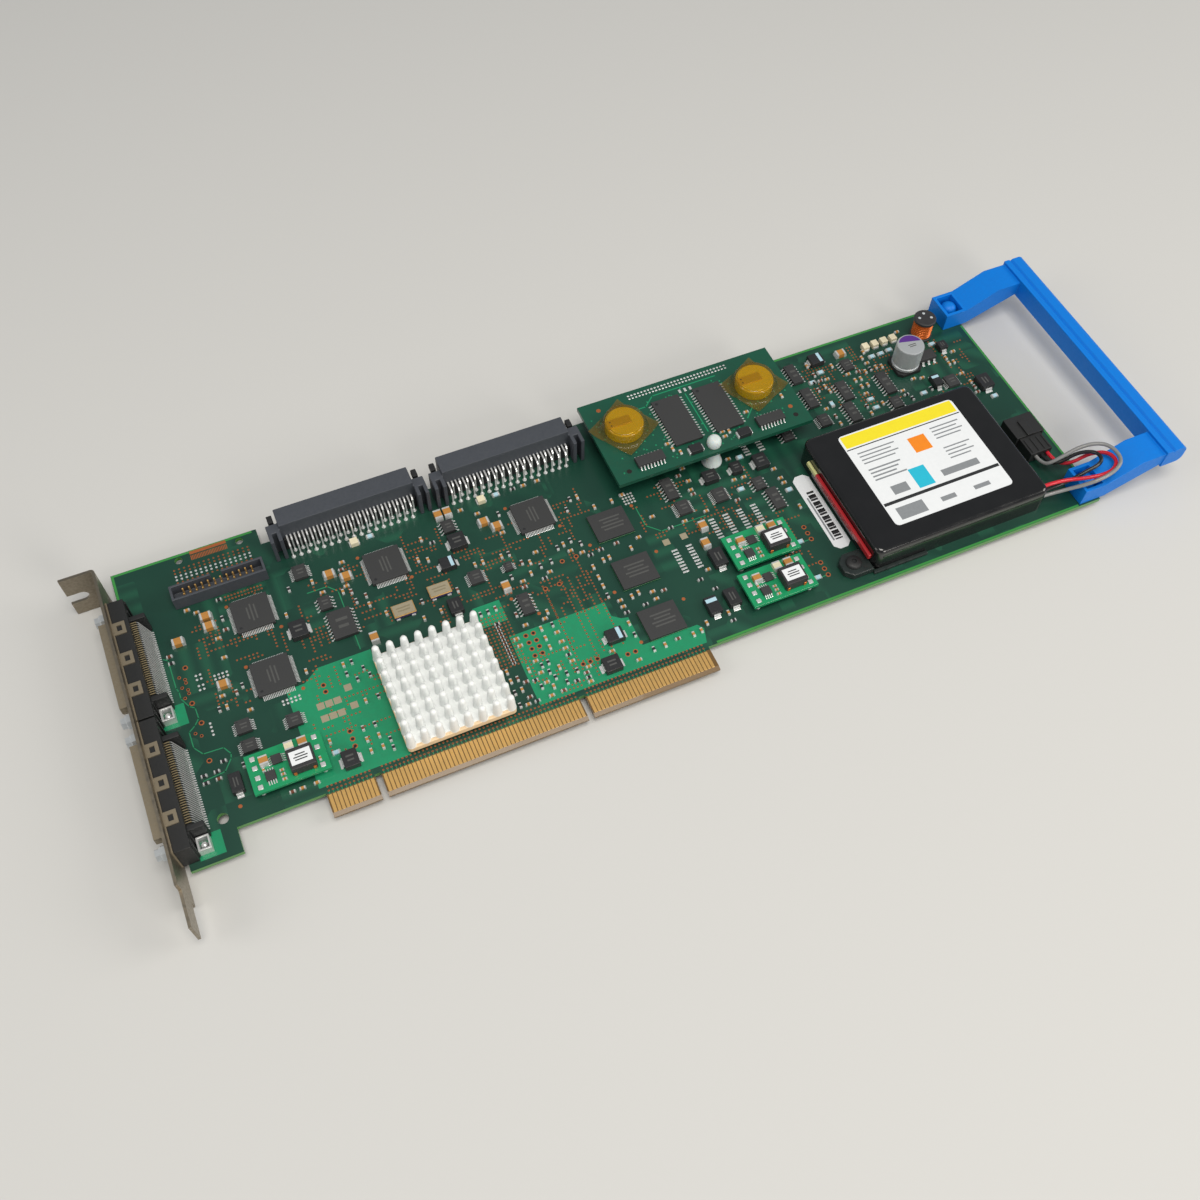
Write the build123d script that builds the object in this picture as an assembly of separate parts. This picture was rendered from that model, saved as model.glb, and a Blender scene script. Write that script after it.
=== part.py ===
"""Full-length storage controller card with bracket, connectors, daughter card, battery and handle.

Drawn with the card lying on its solder side: X runs from the bracket to the handle, Y from the
edge contacts to the top edge, and Z = 0 is the board's component face. All sizes in millimetres.
"""
import os
from build123d import *

os.makedirs("parts", exist_ok=True)

# Circuit board
board_length = 312.0
board_height = 106.68
board_thickness = 1.57
tab_width = 15.15
tab_cutout_height = 7.84
tongue_start = 41.42
tongue_length = 123.39
lower_edge = 8.42
top_notch_start = 47.5
top_notch_end = 159.0
top_notch_depth = 6.5
tooling_hole = 3.4
tooling_hole_at = (12.2, 12.0)
rail_hole = 2.6
rail_hole_start = 21.4
rail_hole_spacing = 19.9
rail_hole_inset = 2.5

# Edge contacts: three runs of gold fingers with two key slots between them
contact_pitch = 1.27
contact_width = 0.95
contact_height = 6.9
contact_thickness = 0.08
contact_run_count = (11, 49, 32)
key_width = 1.9
key_height = 8.0
key_gap_count = (3, 3)
first_contact_inset = 0.96
bevel_run = 1.3
bevel_depth = 0.45

# Sheet steel bracket
bracket_width = 18.42
bracket_length = 120.0
bracket_thickness = 0.86
bracket_gap = 1.85
bracket_below_board = 2.4
bracket_top = 100.36
bracket_tab = 11.0
bracket_bend = 1.3
bracket_tongue = 11.0
bracket_tongue_width = 10.2
bracket_notch_width = 4.4
bracket_notch_depth = 6.2
bracket_notch_from_board = 4.1

# External connectors behind the bracket
external_lower_centre = 23.75
external_length = 43.2
external_gap = 0.5
external_height = 10.6
external_depth = 4.75
external_wall_reach = 8.0
external_wall = 1.7
external_contact_count = 34
external_contact_pitch = 0.8
external_contact_width = 0.4
external_contact_height = 8.5
external_contact_thickness = 0.9
shell_thickness = 0.4
shell_length = 30.6
shell_height = 6.4
shell_reach = 3.0
shell_window_clearance = 0.3
shell_centre_height = 6.4
shell_tab_pitch = 11.2
shell_tab_width = 4.4
shell_tab_length = 3.6
shell_tab_window = (1.5, 2.0)
jack_spacing = 37.0
jack_width = 4.2
jack_length = 3.9
clip_offset = 18.2
clip_size = (3.8, 4.4)
clip_height = 3.4
clip_wall = 0.55

# Internal ribbon connectors on the top edge
internal_first_centre = 76.95
internal_gap = 2.0
internal_length = 44.9
internal_height = 12.0
internal_depth = 7.1
internal_back_inset = 11.08
internal_ear = 4.0
internal_ear_height = 10.4
internal_ear_depth = 7.2
internal_ear_slot = 1.5
internal_socket_wall = 1.6
internal_socket_depth = 5.0
internal_contact_count = 34
internal_contact_width = 0.45
internal_contact_height = 6.2
internal_long_reach = 4.4
internal_short_reach = 1.9

# Shrouded pin header
header_x = 31.45
header_inset = 17.83
header_length = 30.0
header_width = 5.8
header_height = 5.3
header_wall = 0.8
header_floor = 1.4
header_key = 3.4
header_pins = 12
header_pitch = 2.0
header_pin_width = 0.5
header_pin_height = 4.7

# Processor with its pin-fin heat sink
heat_sink_centre = (84.6, 26.8)
heat_sink_size = 34.2
heat_sink_base = 2.2
heat_sink_height = 8.9
heat_sink_pins = 8
heat_sink_pitch = 4.55
heat_sink_pin = 2.6
heat_sink_taper = 4.0
processor_size = 31.0
processor_height = 1.7

# Chip packages, each (x, y), or (x, y, length, width) where the sizes differ
quad_chip_size = 12.0
quad_chip_height = 1.5
quad_chip_standoff = 0.1
quad_chips = [(38.0, 75.0), (38.0, 51.0), (82.0, 76.0), (132.9, 75.9)]
memory_chip_size = (13.0, 11.3)
memory_chip_height = 1.2
memory_chips = [(155.3, 62.6), (155.3, 42.7), (155.3, 22.5)]
outline_chip_height = 1.6
outline_chips = [
    (25.2, 37.6, 4.4, 4.6), (25.2, 30.8, 4.4, 4.2), (39.7, 33.8, 4.4, 4.4), (56.0, 84.0, 4.4, 5.2),
    (60.0, 69.6, 3.9, 4.9), (62.8, 60.4, 7.5, 10.3), (105.7, 82.4, 3.9, 4.9), (107.2, 60.2, 4.4, 5.0),
    (118.2, 60.0, 2.6, 3.2), (118.1, 44.6, 3.9, 7.8), (179.2, 68.0, 3.9, 8.7), (180.3, 59.2, 4.6, 5.4),
    (193.8, 59.2, 4.6, 5.4), (208.1, 58.4, 3.9, 4.9), (210.5, 50.7, 3.9, 8.7), (226.8, 73.3, 3.9, 4.9),
]
right_outline_chips = [
    (70.0, 97.0, 3.9, 8.7), (70.0, 85.0, 3.9, 8.7), (70.0, 74.0, 4.0, 5.0), (59.0, 73.6, 3.9, 8.7),
    (56.8, 83.2, 3.9, 8.6), (50.0, 93.6, 3.9, 4.9), (41.2, 80.8, 3.9, 10.0), (42.4, 71.4, 3.9, 4.9),
    (19.0, 72.4, 4.5, 4.9),
]
regulator_size = (6.6, 4.2)
regulator_height = 2.3
regulator_from_end = 21.5
regulator_inset = 20.68

# Moulded tantalum capacitors and diodes
tantalum_height = 2.5
tantalums = [
    (18.7, 20.4, 3.6, 7.3), (51.2, 14.8, 5.6, 5.6), (49.7, 63.2, 6.2, 6.2), (97.4, 52.2, 4.3, 6.4),
    (100.6, 68.4, 5.8, 4.4), (106.4, 75.4, 6.4, 5.8), (139.2, 22.8, 6.6, 4.6), (134.4, 13.8, 6.4, 5.2),
    (181.8, 36.4, 4.6, 7.6), (172.2, 20.6, 4.2, 7.2), (179.2, 21.0, 4.2, 7.2), (194.0, 67.0, 6.0, 4.6),
    (203.8, 67.0, 4.6, 4.4), (212.8, 66.4, 5.6, 5.6),
]
right_tantalums = [
    (59.4, 99.8, 6.0, 4.6), (24.4, 74.2, 3.2, 5.8), (8.6, 67.2, 4.8, 7.0), (13.5, 88.0, 3.4, 4.4),
]

# Ceramic capacitors in the larger cases, along X and along Y
ceramic_size = (3.4, 2.5)
ceramic_height = 1.8
ceramics_along = [
    (24.3, 79.4), (24.5, 75.6), (14.2, 73.6), (23.3, 53.8), (64.4, 79.6), (69.2, 76.8),
    (117.1, 79.6), (120.6, 76.4),
]
ceramics_across = [(114.8, 53.2), (104.2, 88.0), (107.4, 88.0), (183.0, 50.0), (180.8, 43.4), (70.4, 51.6)]

# Small chip capacitors, along X and along Y
chip_size = (1.6, 0.8)
chip_height = 0.7
capacitors_along = [
    (10.5, 26.8), (14.3, 26.8), (10.5, 24.3), (14.3, 24.3), (25.9, 63.2), (60.5, 74.2), (98.9, 78.8),
    (131.0, 89.0), (134.8, 89.0), (139.8, 89.0), (157.2, 33.5),
]
capacitors_across = [
    (47.3, 23.2), (57.6, 23.5), (61.3, 23.5), (57.6, 19.5), (61.3, 19.5), (108.7, 65.3), (111.4, 65.3),
    (117.7, 65.0), (120.2, 65.0), (147.0, 77.6), (149.6, 77.6),
]

# Clock oscillators in gold-rimmed ceramic cases
oscillator_size = (7.2, 4.6)
oscillator_height = 1.8
oscillators = [(82.0, 57.6), (94.8, 60.2)]

# Cream resettable fuses
fuse_size = (3.4, 2.4)
fuse_height = 2.0
fuses = [(75.5, 88.4), (119.5, 88.4)]
end_fuses = [(39.4, 98.6), (35.6, 98.6), (31.8, 98.6), (28.0, 98.6)]

# Plug-in power converter modules on solder posts
module_size = (22.8, 13.0)
module_board = 1.2
module_lift = 2.3
module_corners = [(22.7, 13.5), (185.1, 28.6), (183.4, 13.7)]
module_post = 1.4
module_posts = [(2.2, 11.2), (2.2, 8.1), (2.2, 4.8), (2.2, 1.7), (20.7, 11.2), (20.7, 7.7), (20.7, 1.7)]
choke_block = (7.6, 7.0, 3.8)
choke_block_at = (15.6, 4.9)
module_chip = (3.0, 3.0, 1.0)
module_chips = [(8.8, 8.4), (5.9, 4.0)]
module_capacitor = (2.8, 2.8, 1.6)
module_capacitors = [(5.2, 9.2), (13.2, 10.8), (17.2, 10.8)]

# Daughter card with its header, spacer, memories, logic and two backup cells
daughter_x = 162.0
daughter_length = 72.5
daughter_width = 36.0
daughter_thickness = 1.57
daughter_lift = 7.03
mezzanine_length = 39.0
mezzanine_width = 5.0
mezzanine_from_left = 36.5
mezzanine_from_top = 2.8
spacer_from_left = 36.2
spacer_from_front = 3.4
spacer_body = 6.6
spacer_neck = 3.6
spacer_hole_clearance = 0.1
spacer_head = 4.8
spacer_head_height = 3.6
buffer_size = (10.2, 20.4)
buffer_height = 1.1
buffer_from_left = (29.0, 44.5)
buffer_from_front = 17.4
logic_size = (10.0, 3.9)
logic_height = 1.6
logic_from_left = (13.6, 58.6)
logic_from_front = 5.6
small_tantalum = (5.0, 3.2, 1.9)
small_tantalum_from_left = (29.4, 47.6)
small_tantalum_from_front = 3.4
cell_diameter = 13.2
cell_height = 4.4
cell_from_left = (11.1, 60.4)
cell_from_front = 21.4
cell_tab = (8.6, 3.4, 0.3)
tape_thickness = 0.15
tape_width = 15.2
tape_turn = 30.0
tape_slope = 10.0

# Battery pack, its foot, label and plug
battery_length = 65.7
battery_width = 50.8
battery_height = 10.0
battery_from_end = 20.3
battery_front = 12.7
battery_corner = 2.6
battery_edge = 1.4
battery_label = (45.0, 39.6)
battery_label_at = (-2.0, 1.6)
label_thickness = 0.1
foot_length = 9.6
foot_width = 8.8
foot_height = 2.6
foot_front = 12.4
foot_round = 2.4
foot_leg = 2.6
foot_rivet_head = 5.2
foot_rivet_rise = 1.2
pack_lead = (1.3, 2.2)
pack_lead_length = 42.0
pack_lead_start = 2.6
pack_lead_lift = 4.2
socket_size = (11.0, 9.0)
socket_height = 6.0
socket_from_end = 4.8
socket_front = 37.6
plug_size = (8.6, 10.6)
plug_height = 4.4
plug_lift = 0.8
plug_insert = 3.4
plug_clearance = 0.2
stock_label = (6.1, 31.8)
stock_label_corner = 1.6
stock_label_gap = 0.5
stock_label_front = 24.7

# Lead from the plug to the battery: corners of its route, from the board's end and component face
wire_diameter = 1.3
wire_route = [
    (-7.6, 30.4, 3.2), (-7.6, 25.4, 3.2), (-4.2, 22.4, 4.6), (1.2, 21.6, 8.2), (5.2, 18.6, 11.0),
    (5.6, 13.4, 12.0), (1.4, 10.4, 11.8), (-5.2, 11.2, 10.8), (-13.6, 16.6, 7.0), (-20.3, 16.6, 7.0),
]
wire_bend_share = 0.45

# Pull handle riveted to the board's far end
handle_reach = 30.0
handle_overlap = 8.0
handle_inset = 0.5
handle_arm = 10.6
handle_cup_height = 7.0
handle_cup_length = 8.6
handle_cup_wall = 1.2
handle_cup_floor = 1.4
handle_rise = 5.5
handle_ramp = 12.0
handle_under = 7.2
handle_bar_width = 8.4
handle_bar_drop = 0.9
handle_bar_lip = 1.1
handle_bar_round = 2.4
handle_groove = 0.7
rivet_leg = 3.0
rivet_clearance = 0.1
rivet_head = 6.0
rivet_head_height = 5.4

# Can capacitor and drum choke near the far end
can_diameter = 10.0
can_height = 9.6
can_base = 1.4
can_from_end = 30.2
can_inset = 20.68
drum_flange = 8.0
drum_leg = 3.6
drum_height = 9.2
drum_flange_height = 1.3
drum_winding = 7.2
drum_from_end = 17.2
drum_inset = 10.0

# Heights and edges that follow from the sizes above
external_centres = (external_lower_centre, external_lower_centre + external_length + external_gap)
internal_pitch = internal_length + 2 * internal_ear + internal_gap
internal_centres = (internal_first_centre, internal_first_centre + internal_pitch)
internal_back = board_height - internal_back_inset
header_centre = (header_x, board_height - header_inset)
can_y = board_height - can_inset
drum_y = board_height - drum_inset
regulator_y = board_height - regulator_inset
bracket_low = -board_thickness - bracket_below_board
bracket_face = -bracket_gap - bracket_thickness
tongue_end = tongue_start + tongue_length
notch_floor = board_height - top_notch_depth
daughter_top = daughter_lift + daughter_thickness
daughter_front = board_height - daughter_width
cell_top = daughter_top + cell_height
battery_end = board_length - battery_from_end
battery_start = battery_end - battery_length
handle_start = board_length - handle_overlap
handle_arm_y = (lower_edge + handle_inset, board_height - handle_inset - handle_arm)
rivet_x = handle_start + handle_cup_length / 2
foot_hole_at = (battery_start - foot_length + foot_width / 2, foot_front + foot_width / 2)
spacer_at = (daughter_x + spacer_from_left, daughter_front + spacer_from_front)


def block(x, y, z):
    """Box between pairs of limits along each axis."""
    return Pos(sum(x) / 2, sum(y) / 2, sum(z) / 2) * Box(x[1] - x[0], y[1] - y[0], z[1] - z[0])


def chip(x, y, length, width, height, base=0.0):
    """Component body centred at a place and standing on a height."""
    return Pos(x, y, base + height / 2) * Box(length, width, height)


def rod(x, y, diameter, low, high):
    """Upright round bar between two heights."""
    return Pos(x, y, (low + high) / 2) * Cylinder(diameter / 2, high - low)


def contact_centres():
    """Middle of every edge contact, run by run, with a key slot between the runs."""
    x = tongue_start + first_contact_inset
    centres = []
    keys = []
    for run, gap in zip(contact_run_count, key_gap_count + (0,)):
        centres += [x + contact_pitch * place for place in range(run)]
        if gap:
            keys.append(centres[-1] + contact_pitch * gap / 2)
        x = centres[-1] + contact_pitch * gap
    return centres, keys


def circuit_board():
    """Main board with its bevelled contact tongue, cut-outs and holes."""
    outline = Polyline(
        (0, 0), (tab_width, 0), (tab_width, tab_cutout_height), (tongue_start, tab_cutout_height),
        (tongue_start, 0), (tongue_end, 0), (tongue_end, lower_edge), (board_length, lower_edge),
        (board_length, board_height), (top_notch_end, board_height), (top_notch_end, notch_floor),
        (top_notch_start, notch_floor), (top_notch_start, board_height), (0, board_height), close=True)
    board = extrude(make_face(outline), board_thickness, dir=(0, 0, -1))
    through = (-board_thickness, 0)
    for key in contact_centres()[1]:
        board -= block((key - key_width / 2, key + key_width / 2), (0, key_height), through)
    bevel = make_face(Polyline((0, 0, 0), (0, bevel_run, 0), (0, 0, -bevel_depth), close=True))
    bevel = Pos(tongue_start, 0, 0) * extrude(bevel, tongue_length, dir=(1, 0, 0))
    board -= bevel
    board -= mirror(bevel, Plane.XY.offset(-board_thickness / 2))
    holes = [(*tooling_hole_at, tooling_hole)]
    for place in range(2):
        holes.append((rail_hole_start + place * rail_hole_spacing, board_height - rail_hole_inset, rail_hole))
    for x, y, diameter in holes:
        board -= rod(x, y, diameter, *through)
    leg = rivet_leg + 2 * rivet_clearance
    for y in handle_arm_y:
        board -= chip(rivet_x, y + handle_arm / 2, leg, leg, board_thickness, -board_thickness)
    leg = foot_leg + 2 * rivet_clearance
    return board - chip(*foot_hole_at, leg, leg, board_thickness, -board_thickness)


def edge_contacts():
    """Gold fingers on the tongue's component face."""
    half = contact_width / 2
    heights = (0, contact_thickness)
    return [block((x - half, x + half), (bevel_run, contact_height), heights) for x in contact_centres()[0]]


def shell_outline(clearance):
    """D-shaped outline of an external connector's nose, in the plane of the bracket."""
    half = shell_length / 2 + clearance
    rise = shell_height / 2 + clearance
    slope = shell_height / 4
    low = half - slope
    return [(-half, rise), (half, rise), (half, 0), (low, -rise), (-low, -rise), (-half, 0)]


def nose(y, clearance, start, end):
    """Prism of the D-shaped outline between two X places."""
    points = [(start, y + across, shell_centre_height + up) for across, up in shell_outline(clearance)]
    return extrude(make_face(Polyline(*points, close=True)), end - start, dir=(1, 0, 0))


def mounting_bracket():
    """Bent steel bracket with its screw tab, lower tongue and connector windows."""
    inside = -bracket_gap
    low = bracket_top - bracket_length
    width = (bracket_low, bracket_low + bracket_width)
    web = block((bracket_face, inside), (low, bracket_top - bracket_bend), width)
    tab = block((bracket_face - bracket_tab + bracket_thickness, inside - bracket_bend),
                (bracket_top - bracket_thickness, bracket_top), width)
    bend_x, bend_y = inside - bracket_bend, bracket_top - bracket_bend
    bend = make_face(
        Line((inside, bend_y), (bracket_face, bend_y))
        + CenterArc((bend_x, bend_y), bracket_bend - bracket_thickness, 0, 90)
        + Line((bend_x, bracket_top - bracket_thickness), (bend_x, bracket_top))
        + CenterArc((bend_x, bend_y), bracket_bend, 0, 90))
    bracket = web + tab + Pos(0, 0, bracket_low) * extrude(bend, bracket_width, dir=(0, 0, 1))
    side = (bracket_width - bracket_tongue_width) / 2
    for edge in (bracket_low, bracket_low + bracket_width - side):
        bracket -= block((bracket_face, inside), (low, low + bracket_tongue), (edge, edge + side))
    for y in external_centres:
        bracket -= nose(y, shell_window_clearance, bracket_face, inside)
    end = bracket_face - bracket_tab + bracket_thickness
    round_end = end + bracket_notch_depth - bracket_notch_width / 2
    middle = bracket_notch_from_board
    bracket -= block((end, round_end), (bracket_top - bracket_thickness, bracket_top),
                     (middle - bracket_notch_width / 2, middle + bracket_notch_width / 2))
    bracket -= Pos(round_end, bracket_top - bracket_thickness / 2, middle) * Rot(90, 0, 0) * Cylinder(
        bracket_notch_width / 2, bracket_thickness)
    return bracket


def jack_posts():
    """Hexagonal screw posts on the bracket beside each external connector."""
    posts = []
    for y in external_centres:
        for side in (-1, 1):
            face = Plane((bracket_face, y + side * jack_spacing / 2, shell_centre_height), z_dir=(-1, 0, 0))
            posts.append(extrude(face * RegularPolygon(jack_width / 2, 6, major_radius=False), jack_length))
    return posts


def external_housing(y):
    """Black moulding of an external connector, with walls either side of its contacts."""
    front = -bracket_gap + shell_thickness
    back = front + external_depth
    body = block((front, back), (y - external_length / 2, y + external_length / 2), (0, external_height))
    reach = external_contact_pitch * external_contact_count / 2 + external_contact_width
    for side in (-1, 1):
        inner = y + side * reach
        wall = sorted((inner, inner + side * external_wall))
        body += block((back, external_wall_reach), wall, (0, external_contact_height))
    return body


def external_shell(y):
    """Plated shell: face plate, D-shaped nose and windowed tabs folded over the housing."""
    front = -bracket_gap
    back = front + shell_thickness
    plate = block((front, back), (y - external_length / 2, y + external_length / 2),
                  (0, external_height + shell_thickness))
    tip = bracket_face - shell_reach
    shell = plate + nose(y, 0, tip, back) - nose(y, -shell_thickness, tip, front)
    for place in (-1, 0, 1):
        middle = y + place * shell_tab_pitch
        top = (external_height, external_height + shell_thickness)
        across = (middle - shell_tab_width / 2, middle + shell_tab_width / 2)
        shell += block((back, back + shell_tab_length), across, top)
        centre = back + shell_tab_length / 2
        shell -= block((centre - shell_tab_window[0] / 2, centre + shell_tab_window[0] / 2),
                       (middle - shell_tab_window[1] / 2, middle + shell_tab_window[1] / 2), top)
    return shell


def external_contacts(y):
    """Row of leads that leave a housing and slope down to the board."""
    back = -bracket_gap + shell_thickness + external_depth
    foot = external_wall_reach - external_contact_width
    top = external_contact_height
    thick = external_contact_thickness
    profile = [(back, top), (foot, 0), (foot - thick, 0), (back, top - thick)]
    leads = []
    for place in range(external_contact_count):
        middle = y + (place - (external_contact_count - 1) / 2) * external_contact_pitch
        start = middle - external_contact_width / 2
        face = make_face(Polyline(*[(x, start, z) for x, z in profile], close=True))
        leads.append(extrude(face, external_contact_width, dir=(0, 1, 0)))
    return leads


def ground_clips():
    """Board-lock clips soldered beside each external connector."""
    clips = []
    left = -bracket_gap + shell_thickness + external_depth + clip_wall
    for y in external_centres:
        centre = (left + clip_size[0] / 2, y - clip_offset)
        frame = chip(*centre, *clip_size, clip_height)
        inside = (clip_size[0] - 2 * clip_wall, clip_size[1] - 2 * clip_wall)
        clips.append(frame - chip(*centre, *inside, clip_height))
    return clips


def internal_housing(x):
    """Ribbon connector body with its socket along the top edge and slotted end ears."""
    half = internal_length / 2
    front = internal_back + internal_depth
    body = block((x - half, x + half), (internal_back, front), (0, internal_height))
    wall = internal_socket_wall
    body -= block((x - half + wall, x + half - wall), (front - internal_socket_depth, front),
                  (wall, internal_height - wall))
    ear_back = internal_back - internal_long_reach
    for side in (-1, 1):
        across = sorted((x + side * half, x + side * (half + internal_ear)))
        body += block(across, (ear_back, ear_back + internal_ear_depth), (0, internal_ear_height))
        middle = sum(across) / 2
        body -= block((middle - internal_ear_slot / 2, middle + internal_ear_slot / 2),
                      (ear_back, ear_back + internal_ear_depth / 2), (0, internal_ear_height))
    return body


def internal_contacts(x):
    """Leads that leave a ribbon connector and bend down to two staggered rows of pads."""
    leads = []
    thick = internal_contact_width
    top = internal_contact_height
    for place in range(internal_contact_count):
        reach = internal_short_reach if place % 2 else internal_long_reach
        foot = internal_back - reach
        start = x + (place - (internal_contact_count - 1) / 2) * contact_pitch - thick / 2
        profile = [(internal_back, top), (foot, 0), (foot + thick, 0), (internal_back, top - thick)]
        if reach == internal_long_reach:
            profile[1:3] = [(foot, top), (foot, 0), (foot + thick, 0), (foot + thick, top - thick)]
        face = make_face(Polyline(*[(start, y, z) for y, z in profile], close=True))
        leads.append(extrude(face, thick, dir=(1, 0, 0)))
    return leads


def box_header():
    """Shrouded header: open-topped housing with a key slot, and its pins."""
    x, y = header_centre
    inside = (header_length - 2 * header_wall, header_width - 2 * header_wall)
    housing = chip(x, y, header_length, header_width, header_height)
    housing -= chip(x, y, *inside, header_height - header_floor, header_floor)
    housing -= chip(x, y + header_width / 2 - header_wall / 2, header_key, header_wall,
                    header_height - header_floor, header_floor)
    pins = []
    for column in range(header_pins):
        for row in (-0.5, 0.5):
            place = x + (column - (header_pins - 1) / 2) * header_pitch
            pins.append(chip(place, y + row * header_pitch, header_pin_width, header_pin_width,
                             header_pin_height - header_floor, header_floor))
    return housing, pins


def heat_sink():
    """Pin-fin heat sink standing on the processor."""
    x, y = heat_sink_centre
    sink = chip(x, y, heat_sink_size, heat_sink_size, heat_sink_base, processor_height)
    grid = GridLocations(heat_sink_pitch, heat_sink_pitch, heat_sink_pins, heat_sink_pins)
    rise = heat_sink_height - heat_sink_base
    pin = extrude(Rectangle(heat_sink_pin, heat_sink_pin), rise, taper=heat_sink_taper)
    root = Pos(x, y, processor_height + heat_sink_base)
    return sink + [root * place * pin for place in grid]


def power_modules():
    """Boards, posts, chokes, chips and capacitors of the power converter modules."""
    top = module_lift + module_board
    boards, posts, chokes, chips, capacitors = [], [], [], [], []
    for x, y in module_corners:
        centre = (x + module_size[0] / 2, y + module_size[1] / 2)
        boards.append(chip(*centre, *module_size, module_board, module_lift))
        posts += [chip(x + dx, y + dy, module_post, module_post, module_lift) for dx, dy in module_posts]
        chokes.append(chip(x + choke_block_at[0], y + choke_block_at[1], *choke_block, top))
        chips += [chip(x + dx, y + dy, *module_chip, top) for dx, dy in module_chips]
        capacitors += [chip(x + dx, y + dy, *module_capacitor, top) for dx, dy in module_capacitors]
    return boards, posts, chokes, chips, capacitors


def daughter_board():
    """Daughter card with the hole for its spacer."""
    card = block((daughter_x, daughter_x + daughter_length), (daughter_front, board_height),
                 (daughter_lift, daughter_top))
    neck = spacer_neck + 2 * spacer_hole_clearance
    return card - chip(*spacer_at, neck, neck, daughter_thickness, daughter_lift)


def board_spacer():
    """Hexagonal nylon spacer with a square neck and a snap head above the daughter card."""
    hexagon = RegularPolygon(spacer_body / 2, 6, major_radius=False)
    body = Pos(*spacer_at, 0) * extrude(hexagon, daughter_lift)
    neck = chip(*spacer_at, spacer_neck, spacer_neck, daughter_thickness, daughter_lift)
    return body + neck + rod(*spacer_at, spacer_head, daughter_top, daughter_top + spacer_head_height)


def backup_cell(x, y):
    """Coin cell."""
    return rod(x, y, cell_diameter, daughter_top, cell_top)


def cell_tape(x, y):
    """Square of film stretched over a coin cell and its tab, and stuck down round them."""
    height = cell_height + cell_tab[2] + tape_thickness
    square = Rot(0, 0, tape_turn) * Rectangle(tape_width, tape_width)
    film = Pos(x, y, daughter_top) * extrude(square, height, taper=tape_slope)
    return film - Pos(0, 0, -tape_thickness) * film


def battery_pack():
    """Wrapped flat cell pack with its corners and top edges eased."""
    depth = (battery_front, battery_front + battery_width)
    pack = block((battery_start, battery_end), depth, (0, battery_height))
    pack = chamfer(pack.edges().filter_by(Axis.Z), battery_corner)
    return chamfer(pack.faces().sort_by(Axis.Z)[-1].edges(), battery_edge)


def battery_foot():
    """Moulded ear beside the pack, with the hole for its rivet."""
    left = battery_start - foot_length
    foot = block((left, battery_start), (foot_front, foot_front + foot_width), (0, foot_height))
    outer = [edge for edge in foot.edges().filter_by(Axis.Z) if edge.center().X < left + foot_round]
    leg = foot_leg + 2 * rivet_clearance
    return chamfer(outer, foot_round) - chip(*foot_hole_at, leg, leg, foot_height)


def snap_rivet(x, y, leg, low, seat, head, rise):
    """Snap rivet: square leg below a round head that bears on its seat."""
    return chip(x, y, leg, leg, seat - low, low) + rod(x, y, head, seat, seat + rise)


def battery_socket():
    """Board socket with an open front for the plug."""
    right = board_length - socket_from_end
    depth = (socket_front, socket_front + socket_size[1])
    body = block((right - socket_size[0], right), depth, (0, socket_height))
    return body - plug_body(plug_clearance)


def plug_body(clearance):
    """Plug block, grown by a clearance where it sits in the socket."""
    middle = board_length - socket_from_end - socket_size[0] / 2
    half = plug_size[0] / 2 + clearance
    low = socket_front + plug_insert - plug_size[1]
    return block((middle - half, middle + half), (low, low + plug_size[1] + clearance),
                 (plug_lift - clearance, plug_lift + plug_height + clearance))


def wire(points):
    """Insulated lead along straight runs joined by the largest arcs that fit."""
    route = [Vector(board_length + x, y, z) for x, y, z in points]
    runs = [(b - a) for a, b in zip(route, route[1:])]
    radii = []
    for before, after in zip(runs, runs[1:]):
        turn = before.get_angle(after)
        radii.append(wire_bend_share * min(before.length, after.length) / math_tan(turn / 2))
    path = FilletPolyline(*route, radius=radii)
    section = Plane(origin=route[0], z_dir=runs[0]) * Rectangle(wire_diameter, wire_diameter)
    print("wire length", round(path.length, 2), "radii", [round(radius, 1) for radius in radii])
    return sweep(section, path)


def math_tan(degrees):
    """Tangent of an angle in degrees."""
    arm = Vector(1, 0, 0).rotate(Axis.Z, degrees)
    return arm.Y / arm.X


def handle():
    """Blue pull handle: two cupped arms that rise to a cross-bar."""
    cup_end = handle_start + handle_cup_length
    top = handle_cup_height + handle_rise
    bar = board_length + handle_reach - handle_bar_width
    rim = handle_cup_height
    side = Polyline(
        (handle_start, 0, 0), (cup_end + handle_cup_wall, 0, 0), (bar, 0, handle_under), (bar, 0, top),
        (cup_end + handle_ramp, 0, top), (cup_end, 0, rim), (handle_start, 0, rim), close=True)
    arm = extrude(make_face(side), handle_arm, dir=(0, 1, 0))
    arm -= block((handle_start + handle_cup_wall, cup_end - handle_cup_wall),
                 (handle_cup_wall, handle_arm - handle_cup_wall), (handle_cup_floor, handle_cup_height))
    leg = rivet_leg + 2 * rivet_clearance
    arm -= chip(rivet_x, handle_arm / 2, leg, leg, handle_cup_floor)
    end = bar + handle_bar_width
    low, high = handle_under - handle_bar_drop, top + handle_bar_lip
    groove = bar + handle_bar_width / 3
    round_x, round_z = end - handle_bar_round, high - handle_bar_round
    section = (
        Polyline((round_x, low), (bar, low), (bar, high), (groove - handle_groove, high),
                 (groove, high - handle_groove), (groove + handle_groove, high), (round_x, high))
        + CenterArc((round_x, round_z), handle_bar_round, 0, 90)
        + Line((end, round_z), (end, low + handle_bar_round))
        + CenterArc((round_x, low + handle_bar_round), handle_bar_round, -90, 90))
    face = make_face(section)
    cross = extrude(Plane.XZ.offset(-lower_edge) * face, lower_edge - board_height)
    return cross + [Pos(0, y, 0) * arm for y in handle_arm_y]


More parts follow.
